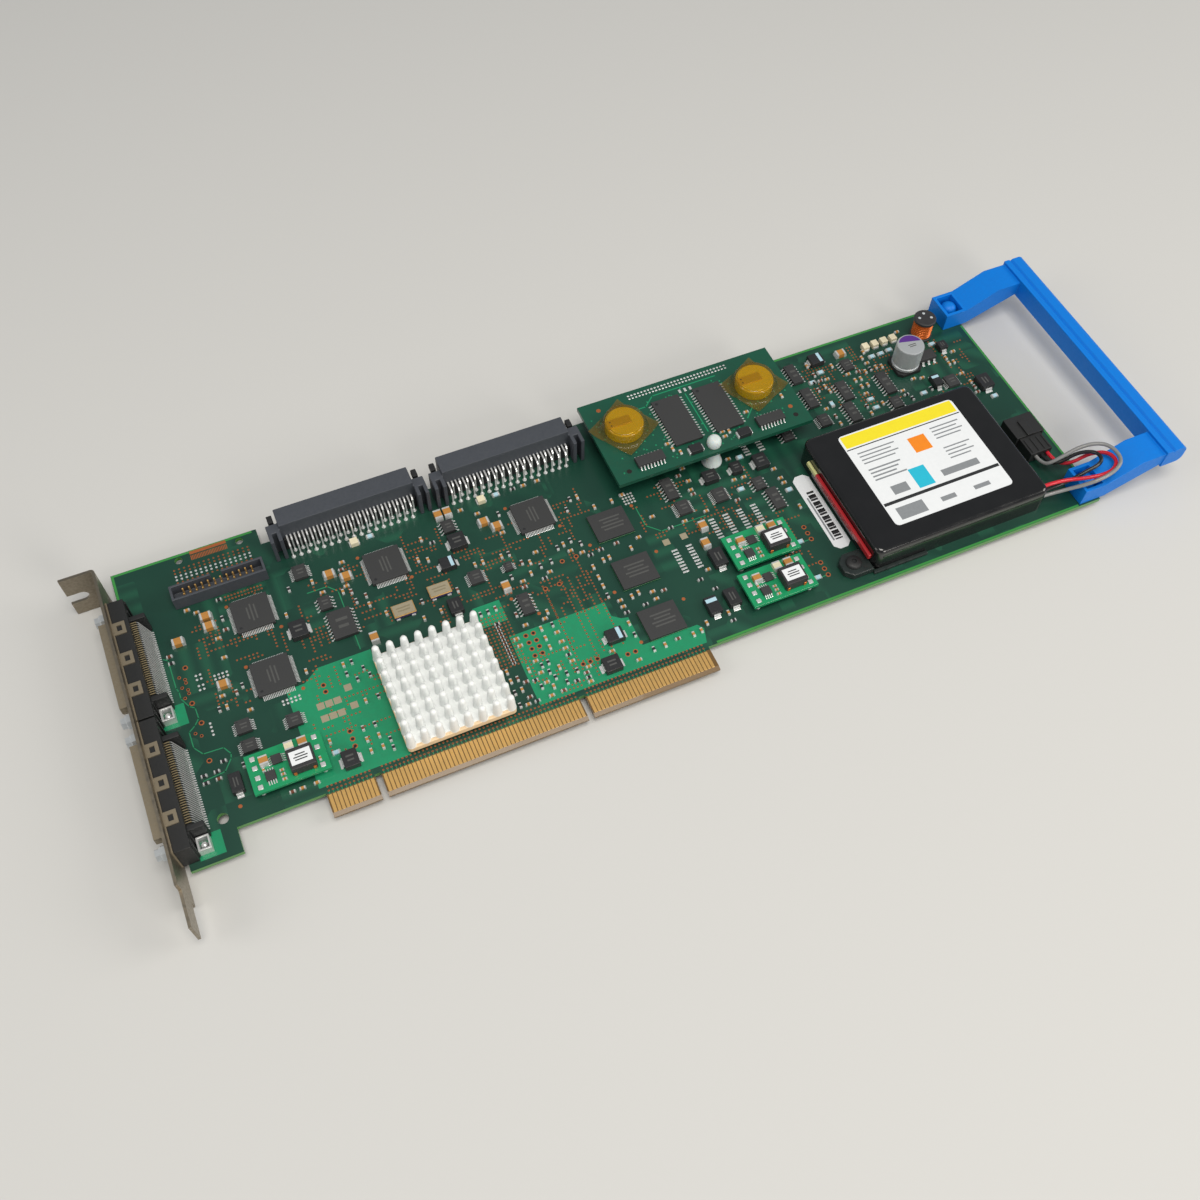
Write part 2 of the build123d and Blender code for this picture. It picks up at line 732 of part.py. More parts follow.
def can_capacitor():
    """Aluminium can and its moulded base plate."""
    x = board_length - can_from_end
    plate = chip(x, can_y, can_diameter, can_diameter, can_base)
    base = chamfer(plate.edges().filter_by(Axis.Z), can_base)
    return rod(x, can_y, can_diameter, can_base, can_base + can_height), base


def drum_choke():
    """Drum core with two flanges, and the copper winding round its leg."""
    x = board_length - drum_from_end
    low, high = drum_flange_height, drum_height - drum_flange_height
    leg = chip(x, drum_y, drum_leg, drum_leg, high - low, low)
    base = Pos(x, drum_y, 0) * extrude(RegularPolygon(drum_flange / 2, 8, major_radius=False), low)
    core = base + leg + rod(x, drum_y, drum_flange, high, drum_height)
    return core, rod(x, drum_y, drum_winding, low, high) - leg


def chips_along(places, size, height):
    """Bodies with their length along X."""
    return [chip(x, y, size[0], size[1], height) for x, y in places]


def chips_across(places, size, height):
    """Bodies with their length along Y."""
    return [chip(x, y, size[1], size[0], height) for x, y in places]


def from_end(places):
    """Places given as distances back from the board's far end."""
    return [(board_length - place[0], *place[1:]) for place in places]


nodes = {"circuit_board": [circuit_board()], "edge_contacts": edge_contacts()}
nodes["mounting_bracket"] = [mounting_bracket()]
nodes["jack_posts"] = jack_posts()
for label, y in zip(("lower", "upper"), external_centres):
    nodes[f"{label}_external_housing"] = [external_housing(y)]
    nodes[f"{label}_external_shell"] = [external_shell(y)]
    nodes[f"{label}_external_contacts"] = external_contacts(y)
nodes["ground_clips"] = ground_clips()
for label, x in zip(("left", "right"), internal_centres):
    nodes[f"{label}_ribbon_housing"] = [internal_housing(x)]
    nodes[f"{label}_ribbon_contacts"] = internal_contacts(x)
header_housing, header_pin_group = box_header()
nodes["header_housing"] = [header_housing]
nodes["header_pins"] = header_pin_group
nodes["heat_sink"] = [heat_sink()]
nodes["processor"] = [chip(*heat_sink_centre, processor_size, processor_size, processor_height)]
nodes["bus_controllers"] = [
    chip(x, y, quad_chip_size, quad_chip_size, quad_chip_height, quad_chip_standoff) for x, y in quad_chips]
nodes["memory_chips"] = [chip(x, y, *memory_chip_size, memory_chip_height) for x, y in memory_chips]
nodes["outline_chips"] = [
    chip(*place, outline_chip_height) for place in outline_chips + from_end(right_outline_chips)]
regulator_x = board_length - regulator_from_end
nodes["outline_chips"].append(chip(regulator_x, regulator_y, *regulator_size, regulator_height))
nodes["tantalum_capacitors"] = [
    chip(*place, tantalum_height) for place in tantalums + from_end(right_tantalums)]
nodes["ceramic_capacitors"] = (
    chips_along(ceramics_along, ceramic_size, ceramic_height)
    + chips_across(ceramics_across, ceramic_size, ceramic_height))
nodes["chip_capacitors"] = (
    chips_along(capacitors_along, chip_size, chip_height)
    + chips_across(capacitors_across, chip_size, chip_height))
nodes["oscillators"] = chips_along(oscillators, oscillator_size, oscillator_height)
nodes["resettable_fuses"] = (
    chips_along(fuses, fuse_size, fuse_height)
    + chips_across(from_end(end_fuses), fuse_size, fuse_height))
module_names = ("module_boards", "module_posts", "module_chokes", "module_chips", "module_capacitors")
nodes.update(zip(module_names, power_modules()))
nodes["daughter_board"] = [daughter_board()]
mezzanine_x = daughter_x + mezzanine_from_left
nodes["mezzanine_header"] = [
    chip(mezzanine_x, board_height - mezzanine_from_top, mezzanine_length, mezzanine_width, daughter_lift)]
nodes["board_spacer"] = [board_spacer()]
nodes["buffer_memories"] = [
    chip(daughter_x + x, daughter_front + buffer_from_front, *buffer_size, buffer_height, daughter_top)
    for x in buffer_from_left]
nodes["logic_chips"] = [
    chip(daughter_x + x, daughter_front + logic_from_front, *logic_size, logic_height, daughter_top)
    for x in logic_from_left]
nodes["tantalum_capacitors"] += [
    chip(daughter_x + x, daughter_front + small_tantalum_from_front, *small_tantalum, daughter_top)
    for x in small_tantalum_from_left]
cell_places = [(daughter_x + x, daughter_front + cell_from_front) for x in cell_from_left]
nodes["backup_cells"] = [backup_cell(*place) for place in cell_places]
nodes["cell_tabs"] = [chip(x - cell_tab[0] / 4, y, *cell_tab, cell_top) for x, y in cell_places]
nodes["cell_tapes"] = [cell_tape(*place) for place in cell_places]
nodes["battery_pack"] = [battery_pack()]
label_x = (battery_start + battery_end) / 2 + battery_label_at[0]
label_y = battery_front + battery_width / 2 + battery_label_at[1]
nodes["battery_label"] = [chip(label_x, label_y, *battery_label, label_thickness, battery_height)]
nodes["battery_foot"] = [battery_foot()]
lead_y = battery_front + pack_lead_start
lead_height = (pack_lead_lift, pack_lead_lift + pack_lead[1])
nodes["pack_lead"] = [
    block((battery_start - pack_lead[0], battery_start), (lead_y, lead_y + pack_lead_length), lead_height)]
nodes["battery_socket"] = [battery_socket()]
nodes["battery_plug"] = [plug_body(0)]
nodes["red_wire"] = [wire(wire_route)]
stock_x = battery_start - stock_label_gap - stock_label[0] / 2
stock_plate = Pos(stock_x, stock_label_front + stock_label[1] / 2, 0)
stock_outline = chamfer(Rectangle(*stock_label).vertices(), stock_label_corner)
nodes["stock_label"] = [extrude(stock_plate * stock_outline, label_thickness)]
nodes["handle"] = [handle()]
nodes["snap_rivets"] = [
    snap_rivet(rivet_x, y + handle_arm / 2, rivet_leg, bracket_low, handle_cup_floor, rivet_head,
               rivet_head_height)
    for y in handle_arm_y]
nodes["snap_rivets"].append(
    snap_rivet(*foot_hole_at, foot_leg, -board_thickness, foot_height, foot_rivet_head, foot_rivet_rise))
can, can_plate = can_capacitor()
nodes["can_capacitor"] = [can]
nodes["can_base"] = [can_plate]
drum, winding = drum_choke()
nodes["choke_drum"] = [drum]
nodes["choke_winding"] = [winding]

# The origin is below the middle of the card, on the surface that it lies on
rigid = [solid for label, solids in nodes.items() if label != "red_wire" for solid in solids]
limits = Compound(rigid).bounding_box()
middle = limits.center()
to_origin = Pos(-middle.X, -middle.Y, -limits.min.Z)
for label, solids in nodes.items():
    export_step(to_origin * Compound(solids), f"parts/{label}.step")
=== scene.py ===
"""Looks for a full-length storage controller card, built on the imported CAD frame."""
import math
import random
import bpy
from mathutils import Matrix, Vector


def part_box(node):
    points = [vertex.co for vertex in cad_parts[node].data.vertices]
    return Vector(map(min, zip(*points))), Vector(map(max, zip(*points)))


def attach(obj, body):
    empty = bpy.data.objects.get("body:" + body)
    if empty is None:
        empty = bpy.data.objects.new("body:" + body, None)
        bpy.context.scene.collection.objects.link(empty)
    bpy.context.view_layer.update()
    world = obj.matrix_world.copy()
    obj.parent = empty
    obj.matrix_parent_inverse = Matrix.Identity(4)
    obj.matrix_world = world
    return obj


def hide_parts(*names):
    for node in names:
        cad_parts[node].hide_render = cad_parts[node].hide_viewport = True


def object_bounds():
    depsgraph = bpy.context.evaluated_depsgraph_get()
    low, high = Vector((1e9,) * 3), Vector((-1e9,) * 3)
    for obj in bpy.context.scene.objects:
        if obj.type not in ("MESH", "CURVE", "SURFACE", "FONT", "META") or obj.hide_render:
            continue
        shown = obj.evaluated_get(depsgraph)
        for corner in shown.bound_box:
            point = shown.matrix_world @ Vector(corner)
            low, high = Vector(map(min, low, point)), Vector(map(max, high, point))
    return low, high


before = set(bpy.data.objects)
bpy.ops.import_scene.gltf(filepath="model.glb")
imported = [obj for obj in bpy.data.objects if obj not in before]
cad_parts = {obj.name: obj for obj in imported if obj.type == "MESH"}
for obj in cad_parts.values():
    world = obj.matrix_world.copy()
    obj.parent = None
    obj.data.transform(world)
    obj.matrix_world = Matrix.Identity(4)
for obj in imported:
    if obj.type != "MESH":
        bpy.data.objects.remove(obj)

bl_info = {
    "name": "Storage Controller Card",
    "version": (1, 0, 0),
    "blender": (4, 5, 0),
    "location": "View3D > Sidebar > Card",
    "description": "Dresses the storage controller card with its leads, finishes and studio",
    "category": "Object",
}

# Pieces are modelled in millimetres from the board's lower left corner on its component face
CAD_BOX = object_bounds()
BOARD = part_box("circuit_board")
SEAT = Matrix.Translation((BOARD[0].x, BOARD[0].y, BOARD[1].z)) @ Matrix.Scale(0.001, 4)
UNDERSIDE = (BOARD[0].z - BOARD[1].z) * 1000
DECK = (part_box("daughter_board")[1].z - BOARD[1].z) * 1000


# Finishes

def linear(code):
    """Linear colour, with alpha, from an sRGB hex code."""
    parts = [int(code[place:place + 2], 16) / 255 for place in (1, 3, 5)]
    return tuple(c / 12.92 if c <= 0.04045 else ((c + 0.055) / 1.055) ** 2.4 for c in parts) + (1.0,)


def add_node(tree, kind, links=None, **settings):
    """One node with its settings; links maps an input to a value or to another node's output."""
    node = tree.nodes.new(kind)
    for name, value in settings.items():
        setattr(node, name, value)
    for name, value in (links or {}).items():
        if isinstance(value, bpy.types.NodeSocket):
            tree.links.new(value, node.inputs[name])
        else:
            node.inputs[name].default_value = value
    return node


def blank_finish(name):
    """New material with its tree, its shader and the piece's own coordinates."""
    material = bpy.data.materials.new(name)
    material.use_nodes = True
    tree = material.node_tree
    place = add_node(tree, "ShaderNodeTexCoord").outputs["Object"]
    return material, tree, tree.nodes["Principled BSDF"], place


# name: (colour, second colour, grain in mm, roughness low and high, relief in mm, fixed sockets)
FINISHES = {
    # liquid solder mask on bare laminate of the small boards: satin green with faint cloudiness
    "mask_daughter_green": ("#135440", "#0e4634", 3.0, (0.30, 0.42), 0.004, {"Coat Weight": 0.25}),
    "mask_module_green": ("#159a63", "#0f8453", 2.0, (0.30, 0.42), 0.004, {"Coat Weight": 0.25}),
    # solder mask over a copper pour: the copper below makes the green lighter
    "mask_over_pour": ("#1d9266", "#158057", 1.6, (0.30, 0.42), 0.006, {"Coat Weight": 0.25}),
    # no copper lies under the board's margins, so light passes and the green turns yellow
    "mask_over_laminate": ("#3d8f44", "#33823a", 1.6, (0.32, 0.42), 0.004, {"Coat Weight": 0.2}),
    "mask_over_trace": ("#2a8a5e", "#217a52", 1.6, (0.32, 0.42), 0.004, {}),
    # hard gold plate on the fingers: warm, slightly rubbed by insertion
    "hard_gold_plate": ("#e6bd78", "#cda05a", 1.2, (0.30, 0.50), 0.004, {"Metallic": 0.6}),
    "bare_copper": ("#b9693b", "#94512b", 0.6, (0.45, 0.62), 0.004, {"Metallic": 0.3}),
    # near-black discs drawn over holes: painted shade where light does not reach into a hole
    "painted_hole_shade": ("#0a0908", "#15110d", 0.4, (0.60, 0.80), 0.002, {}),
    # zinc plated sheet steel: warm grey, dulled and finely scratched
    "zinc_plated_steel": ("#a79d8c", "#857c6d", 0.9, (0.30, 0.50), 0.010, {"Metallic": 1.0}),
    "dulled_nickel": ("#aea28c", "#90846f", 1.0, (0.32, 0.48), 0.006, {"Metallic": 0.7}),
    # tinned leads and solder: bright, uneven from reflow, and only half metallic with a near-white base, so
    # that part of their brightness is a painted reflection of bright surroundings
    "tin_with_painted_reflection": ("#eceded", "#cbcdcd", 0.35, (0.24, 0.42), 0.010, {"Metallic": 0.5}),
    "brass_lead": ("#dccaa2", "#bfa97c", 0.5, (0.28, 0.42), 0.004, {"Metallic": 1.0}),
    # glass filled mouldings: near black with a fine sparked texture, drawn coarser so that it shows
    "black_pbt_moulding": ("#191a1b", "#232425", 0.5, (0.46, 0.62), 0.020, {}),
    "blue_black_lcp_moulding": ("#3a3e45", "#474b52", 0.6, (0.45, 0.60), 0.020, {}),
    "natural_nylon": ("#dcdfdc", "#cdd1ce", 1.2, (0.35, 0.48), 0.010, {"Subsurface Weight": 0.15}),
    # transfer moulded epoxy of chips: dark grey, matt, gritty
    "epoxy_moulding": ("#2c2d2e", "#38393a", 0.35, (0.55, 0.72), 0.012, {}),
    "epoxy_gloss": ("#202123", "#2b2c2e", 0.5, (0.34, 0.48), 0.010, {}),
    "laser_print": ("#505150", "#454645", 0.5, (0.60, 0.75), 0.002, {}),
    # sintered ceramics of capacitors and oscillators
    "fired_brown_ceramic": ("#c08a45", "#a57032", 0.5, (0.40, 0.55), 0.008, {}),
    "dark_ceramic": ("#7a4630", "#5f3423", 0.5, (0.40, 0.55), 0.008, {}),
    "black_resistor_film": ("#1d1d1f", "#2a2a2c", 0.4, (0.30, 0.45), 0.004, {}),
    "pale_blue_glaze": ("#9fc6d8", "#bcd9e4", 0.5, (0.30, 0.42), 0.004, {}),
    "purple_ceramic": ("#4a3a6a", "#3a2d55", 0.5, (0.35, 0.50), 0.006, {}),
    "tan_lid": ("#aca28a", "#968c74", 0.4, (0.38, 0.52), 0.010, {"Metallic": 0.2}),
    "tan_ceramic_print": ("#8d8369", "#7d745c", 0.6, (0.40, 0.55), 0.002, {}),
    "dipped_cream_polymer": ("#e7dfc4", "#d6ccab", 0.8, (0.42, 0.55), 0.008, {}),
    # clear anodised die cast aluminium: matt white silver with a blasted skin
    "blasted_anodise": ("#f4f6f5", "#e3e6e5", 0.45, (0.50, 0.70), 0.035, {"Metallic": 0.1}),
    "cream_adhesive": ("#ecd3b0", "#dfc298", 0.8, (0.50, 0.65), 0.010, {}),
    "drawn_aluminium": ("#d3d7d9", "#bcc1c4", 1.2, (0.34, 0.48), 0.006, {"Metallic": 0.6}),
    "purple_print": ("#5a2f8c", "#4a2577", 0.8, (0.40, 0.52), 0.003, {}),
    # ferrite, enamelled winding wire, and pale spots on the drum's top
    "pressed_ferrite": ("#222224", "#343436", 0.5, (0.45, 0.62), 0.020, {}),
    "enamelled_copper": ("#e8803a", "#c25a20", 0.5, (0.20, 0.32), 0.006, {"Metallic": 0.5}),
    "pale_top_spots": ("#c7cdd1", "#9fa6ab", 0.7, (0.25, 0.40), 0.010, {}),
    # nickel plated cell can, warmed by the amber film that covers it
    "rolled_cell_steel": ("#ffd028", "#ecb814", 1.0, (0.20, 0.32), 0.006, {"Metallic": 0.35}),
    "cell_tab": ("#dda61a", "#c69012", 1.0, (0.25, 0.38), 0.006, {"Metallic": 0.35}),
    # shrink wrapped pack: glossy black vinyl with shallow slack
    "shrunk_vinyl": ("#0b0b0c", "#131314", 6.0, (0.14, 0.24), 0.090,
                     {"Coat Weight": 0.5, "Coat Roughness": 0.08}),
    "smoke_polycarbonate": ("#232a2a", "#2e3634", 2.0, (0.25, 0.38), 0.010, {"Alpha": 0.86}),
    # coated paper and its inks
    "coated_paper": ("#e9ecef", "#dfe3e6", 1.5, (0.38, 0.50), 0.006, {}),
    "yellow_ink": ("#f0e02c", "#e6d41f", 1.5, (0.38, 0.50), 0.004, {}),
    "orange_ink": ("#f08c1e", "#e67f12", 1.5, (0.38, 0.50), 0.004, {}),
    "cyan_ink": ("#27bcd6", "#1eaecb", 1.5, (0.38, 0.50), 0.004, {}),
    "black_ink": ("#202224", "#2c2e30", 1.5, (0.38, 0.50), 0.004, {}),
    "grey_ink": ("#8d9195", "#7c8084", 1.0, (0.40, 0.52), 0.004, {}),
    # extruded PVC insulation: soft gloss
    "red_pvc": ("#d81f33", "#c2162a", 2.0, (0.28, 0.40), 0.010, {"Coat Weight": 0.2}),
    "black_pvc": ("#161617", "#202022", 2.0, (0.26, 0.38), 0.010, {"Coat Weight": 0.2}),
    "grey_pvc": ("#8b8c8c", "#7b7c7c", 2.0, (0.30, 0.42), 0.010, {"Coat Weight": 0.2}),
    "red_film_lead": ("#b3262c", "#98191f", 1.6, (0.30, 0.42), 0.010, {"Coat Weight": 0.3}),
    "cream_film": ("#cfcf92", "#bdbd80", 1.6, (0.35, 0.48), 0.008, {}),
    # injection moulded ABS: blue, satin, lightly sparked
    "blue_abs_moulding": ("#007ada", "#0070cf", 1.0, (0.40, 0.52), 0.018, {"Specular IOR Level": 0.3}),
}


def mottled(name):
    """Finish with two colours, roughness and relief that follow one grain."""
    first, second, grain, rough, relief, fixed = FINISHES[name]
    material, tree, shader, place = blank_finish(name)
    grains = add_node(tree, "ShaderNodeTexNoise", {"Vector": place, "Scale": 1000 / grain, "Detail": 3.0})
    colour = add_node(tree, "ShaderNodeMix", {
        "Factor": grains.outputs["Fac"], 6: linear(first), 7: linear(second)}, data_type="RGBA")
    span = add_node(tree, "ShaderNodeMapRange", {
        "Value": grains.outputs["Fac"], "From Min": 0.3, "From Max": 0.7,
        "To Min": rough[0], "To Max": rough[1]})
    bump = add_node(tree, "ShaderNodeBump", {
        "Height": grains.outputs["Fac"], "Distance": relief / 1000, "Strength": 0.6})
    tree.links.new(colour.outputs[2], shader.inputs["Base Color"])
    tree.links.new(span.outputs["Result"], shader.inputs["Roughness"])
    tree.links.new(bump.outputs["Normal"], shader.inputs["Normal"])
    for socket, value in fixed.items():
        shader.inputs[socket].default_value = value
    return material


# Bare part of the contact tongue, from the board's corner in metres
TONGUE_DEPTH = 0.0074
TONGUE_START = 0.03


def board_mask(name):
    """Solder mask of the main board: dark green, with bundles of traces showing as lighter lines.

    The cut sides show green laminate, and the tongue round the fingers is bare tan laminate.
    The traces are 0.15 mm wide on the real board; here the lines are 0.9 mm apart so that they show."""
    material, tree, shader, place = blank_finish(name)
    cells = add_node(tree, "ShaderNodeTexVoronoi", {"Vector": place, "Scale": 1000 / 14},
                     distance="CHEBYCHEV")
    parts = add_node(tree, "ShaderNodeSeparateColor", {"Color": cells.outputs["Color"]})
    waves = []
    for axis in ("X", "Y", "DIAGONAL"):
        waves.append(add_node(tree, "ShaderNodeTexWave", {"Vector": place, "Scale": 1000 / 0.9 / 20},
                              bands_direction=axis).outputs["Fac"])
    turn = add_node(tree, "ShaderNodeMath", {0: parts.outputs["Red"], 1: 0.5}, operation="GREATER_THAN")
    lines = add_node(tree, "ShaderNodeMix", {"Factor": turn.outputs[0], 2: waves[0], 3: waves[1]})
    slant = add_node(tree, "ShaderNodeMath", {0: parts.outputs["Green"], 1: 0.8}, operation="GREATER_THAN")
    lines = add_node(tree, "ShaderNodeMix", {"Factor": slant.outputs[0], 2: lines.outputs[0], 3: waves[2]})
    shown = add_node(tree, "ShaderNodeMapRange", {
        "Value": parts.outputs["Blue"], "From Min": 0.45, "From Max": 0.75, "To Min": 0.0, "To Max": 0.55})
    traces = add_node(tree, "ShaderNodeMath", {0: lines.outputs[0], 1: shown.outputs["Result"]},
                      operation="MULTIPLY")
    cloud = add_node(tree, "ShaderNodeTexNoise", {"Vector": place, "Scale": 1000 / 30, "Detail": 4.0})
    ground = add_node(tree, "ShaderNodeMix", {
        "Factor": cloud.outputs["Fac"], 6: linear("#0c332a"), 7: linear("#134534")}, data_type="RGBA")
    mask = add_node(tree, "ShaderNodeMix", {
        "Factor": traces.outputs[0], 6: ground.outputs[2], 7: linear("#1f5c44")}, data_type="RGBA")
    spot = add_node(tree, "ShaderNodeSeparateXYZ", {"Vector": place})
    below = add_node(tree, "ShaderNodeMath", {0: spot.outputs["Y"], 1: BOARD[0].y + TONGUE_DEPTH},
                     operation="LESS_THAN")
    beyond = add_node(tree, "ShaderNodeMath", {0: spot.outputs["X"], 1: BOARD[0].x + TONGUE_START},
                      operation="GREATER_THAN")
    tongue = add_node(tree, "ShaderNodeMath", {0: below.outputs[0], 1: beyond.outputs[0]},
                      operation="MULTIPLY")
    facing = add_node(tree, "ShaderNodeNewGeometry").outputs["Normal"]
    upright = add_node(tree, "ShaderNodeSeparateXYZ", {"Vector": facing}).outputs["Z"]
    level = add_node(tree, "ShaderNodeMath", {0: upright}, operation="ABSOLUTE")
    side = add_node(tree, "ShaderNodeMath", {0: level.outputs[0], 1: 0.5}, operation="LESS_THAN")
    cut = add_node(tree, "ShaderNodeMix", {
        "Factor": side.outputs[0], 6: mask.outputs[2], 7: linear("#4d8a3f")}, data_type="RGBA")
    colour = add_node(tree, "ShaderNodeMix", {
        "Factor": tongue.outputs[0], 6: cut.outputs[2], 7: linear("#6a5029")}, data_type="RGBA")
    rough = add_node(tree, "ShaderNodeMapRange", {
        "Value": cloud.outputs["Fac"], "To Min": 0.30, "To Max": 0.46})
    bump = add_node(tree, "ShaderNodeBump", {
        "Height": traces.outputs[0], "Distance": 0.00004, "Strength": 0.5})
    tree.links.new(colour.outputs[2], shader.inputs["Base Color"])
    tree.links.new(rough.outputs["Result"], shader.inputs["Roughness"])
    tree.links.new(bump.outputs["Normal"], shader.inputs["Normal"])
    shader.inputs["Coat Weight"].default_value = 0.2
    return material


def amber_film(name):
    """Polyimide tape: clear amber, glossy, with faint creases."""
    material, tree, shader, place = blank_finish(name)
    creases = add_node(tree, "ShaderNodeTexNoise", {"Vector": place, "Scale": 1000 / 5, "Detail": 2.0})
    colour = add_node(tree, "ShaderNodeMix", {
        "Factor": creases.outputs["Fac"], 6: linear("#94700c"), 7: linear("#745606")}, data_type="RGBA")
    bump = add_node(tree, "ShaderNodeBump", {
        "Height": creases.outputs["Fac"], "Distance": 0.0005, "Strength": 0.25})
    tree.links.new(colour.outputs[2], shader.inputs["Base Color"])
    tree.links.new(bump.outputs["Normal"], shader.inputs["Normal"])
    fixed = {"Roughness": 0.16, "Alpha": 0.22, "Coat Weight": 0.3, "Coat Roughness": 0.06}
    for socket, value in fixed.items():
        shader.inputs[socket].default_value = value
    return material


# Finishes with a tree of their own
SPECIAL = {"mask_over_traces": board_mask, "polyimide_film": amber_film}


def finish(name):
    """Material of that name, made on its first use."""
    found = bpy.data.materials.get(name)
    return found or SPECIAL.get(name, mottled)(name)


# Modelling

# Thickness of print and of mask over a trace, drawn thicker so that it shows
INK = 0.02
# Turns that set a model at both ends of a part
BOTH_WAYS = [(0, 0, 0, 0), (0, 0, 0, 180)]


def only(piece):
    """Makes a piece the only selected and the active one."""
    bpy.ops.object.select_all(action="DESELECT")
    piece.select_set(True)
    bpy.context.view_layer.objects.active = piece
    return piece


def pick(piece, test=None, kind="FACE"):
    """Opens a piece in edit mode with the faces or edges selected whose middle and normal pass a test."""
    only(piece)
    mesh = piece.data
    for part in (mesh.vertices, mesh.edges, mesh.polygons):
        part.foreach_set("select", [test is None] * len(part))
    if test and kind == "FACE":
        for face in mesh.polygons:
            face.select = test(face.center, face.normal)
    if test and kind == "EDGE":
        for edge in mesh.edges:
            a, b = (mesh.vertices[corner].co for corner in edge.vertices)
            edge.select = test((a + b) / 2, b - a)
    bpy.ops.object.mode_set(mode="EDIT")
    bpy.ops.mesh.select_mode(type=kind)


def done():
    """Leaves edit mode."""
    bpy.ops.object.mode_set(mode="OBJECT")
    return bpy.context.object


def closed():
    """Turns the faces of the open piece outwards and leaves edit mode."""
    bpy.ops.mesh.select_all(action="SELECT")
    bpy.ops.mesh.normals_make_consistent(inside=False)
    done()


def eased(piece, test, offset, steps, kind="EDGE"):
    """Bevels the edges, or the rims of the faces, that pass a test."""
    pick(piece, test, kind)
    bpy.ops.mesh.bevel(offset=offset, segments=steps, affect="EDGES")
    done()


def lifted(piece, height):
    """Raises a piece in its mesh."""
    piece.data.transform(Matrix.Translation((0, 0, height)))
    return piece


def flat(points, turn=0):
    """Places (x, y, z, turn) on the board from points (x, y)."""
    return [(x, y, 0, turn) for x, y in points]


def coat(piece, name):
    """Gives a piece one finish."""
    piece.data.materials.clear()
    piece.data.materials.append(finish(name))
    return piece


def block(x, y, z, name, edge=0.1, steps=1):
    """Moulded block between pairs of limits, its edges eased."""
    bpy.ops.object.select_all(action="DESELECT")
    bpy.ops.mesh.primitive_cube_add(size=1, location=(sum(x) / 2, sum(y) / 2, sum(z) / 2))
    piece = bpy.context.object
    piece.scale = (x[1] - x[0], y[1] - y[0], z[1] - z[0])
    bpy.ops.object.transform_apply()
    if edge:
        eased(piece, None, edge, steps)
    return coat(piece, name)


def chip(length, width, low, high, name, edge=0.1, steps=1, at=(0, 0)):
    """Block centred on a place."""
    return block((at[0] - length / 2, at[0] + length / 2), (at[1] - width / 2, at[1] + width / 2),
                 (low, high), name, edge, steps)


def turned(profile, at, name, sides=24):
    """Round piece built up from a disc by extruding and resizing, through (radius, height) steps."""
    bpy.ops.object.select_all(action="DESELECT")
    radius, height = profile[0]
    bpy.ops.mesh.primitive_circle_add(vertices=sides, radius=radius, fill_type="NGON",
                                      location=(at[0], at[1], height))
    piece = bpy.context.object
    bpy.ops.object.transform_apply()
    pick(piece)
    for next_radius, next_height in profile[1:]:
        bpy.ops.mesh.extrude_region_move(TRANSFORM_OT_translate={"value": (0, 0, next_height - height)})
        ratio = next_radius / radius
        bpy.ops.transform.resize(value=(ratio, ratio, 1), center_override=(at[0], at[1], next_height))
        radius, height = next_radius, next_height
    closed()
    return coat(piece, name)


def bent_strip(start, width, thick, moves, name):
    """Lead bent in the XZ plane: a mitred section pushed out of a start point, move by move."""
    bpy.ops.object.select_all(action="DESELECT")
    bpy.ops.mesh.primitive_plane_add(size=1)
    piece = bpy.context.object
    piece.scale = (thick * math.sqrt(2), width, 1)
    piece.rotation_euler = (0, math.radians(45), 0)
    piece.location = start
    bpy.ops.object.transform_apply()
    pick(piece)
    for x, z in moves:
        bpy.ops.mesh.extrude_region_move(TRANSFORM_OT_translate={"value": (x, 0, z)})
    closed()
    return coat(piece, name)


def outline_plate(points, low, high, name):
    """Thin plate with a drawn outline."""
    count = len(points)
    mesh = bpy.data.meshes.new("outline")
    mesh.from_pydata([(x, y, low) for x, y in points], [(n, (n + 1) % count) for n in range(count)], [])
    piece = bpy.data.objects.new("outline", mesh)
    bpy.context.collection.objects.link(piece)
    pick(piece, None, "EDGE")
    bpy.ops.mesh.edge_face_add()
    bpy.ops.mesh.extrude_region_move(TRANSFORM_OT_translate={"value": (0, 0, high - low)})
    closed()
    return coat(piece, name)


def joined(parts):
    """Joins pieces to the first of them."""
    bpy.ops.object.select_all(action="DESELECT")
    for part in parts:
        part.select_set(True)
    bpy.context.view_layer.objects.active = parts[0]
    if len(parts) > 1:
        bpy.ops.object.join()
    return bpy.context.object


def copied(model, places):
    """Copies of a model, each with its own mesh, at (x, y, z, turn); the model itself goes."""
    copies = []
    for x, y, z, turn in places:
        copy = model.copy()
        copy.data = model.data.copy()
        bpy.context.collection.objects.link(copy)
        copy.data.transform(Matrix.Translation((x, y, z)) @ Matrix.Rotation(math.radians(turn), 4, "Z"))
        copies.append(copy)
    bpy.data.objects.remove(model)
    return joined(copies)


def softened(node, name, edge, steps=2):
    """Copy of a CAD node with its triangles merged and its edges rounded."""
    piece = bpy.data.objects.new(node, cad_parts[node].data.copy())
    bpy.context.collection.objects.link(piece)
    piece.data.transform(SEAT.inverted())
    pick(piece)
    bpy.ops.mesh.remove_doubles(threshold=0.002)
    bpy.ops.mesh.dissolve_limited(angle_limit=math.radians(1))
    done()
    bpy.ops.mesh.customdata_custom_splitnormals_clear()
    rounding = piece.modifiers.new("rounding", "BEVEL")
    rounding.width = edge
    rounding.segments = steps
    rounding.limit_method = "ANGLE"
    bpy.ops.object.modifier_apply(modifier=rounding.name)
    return coat(piece, name)


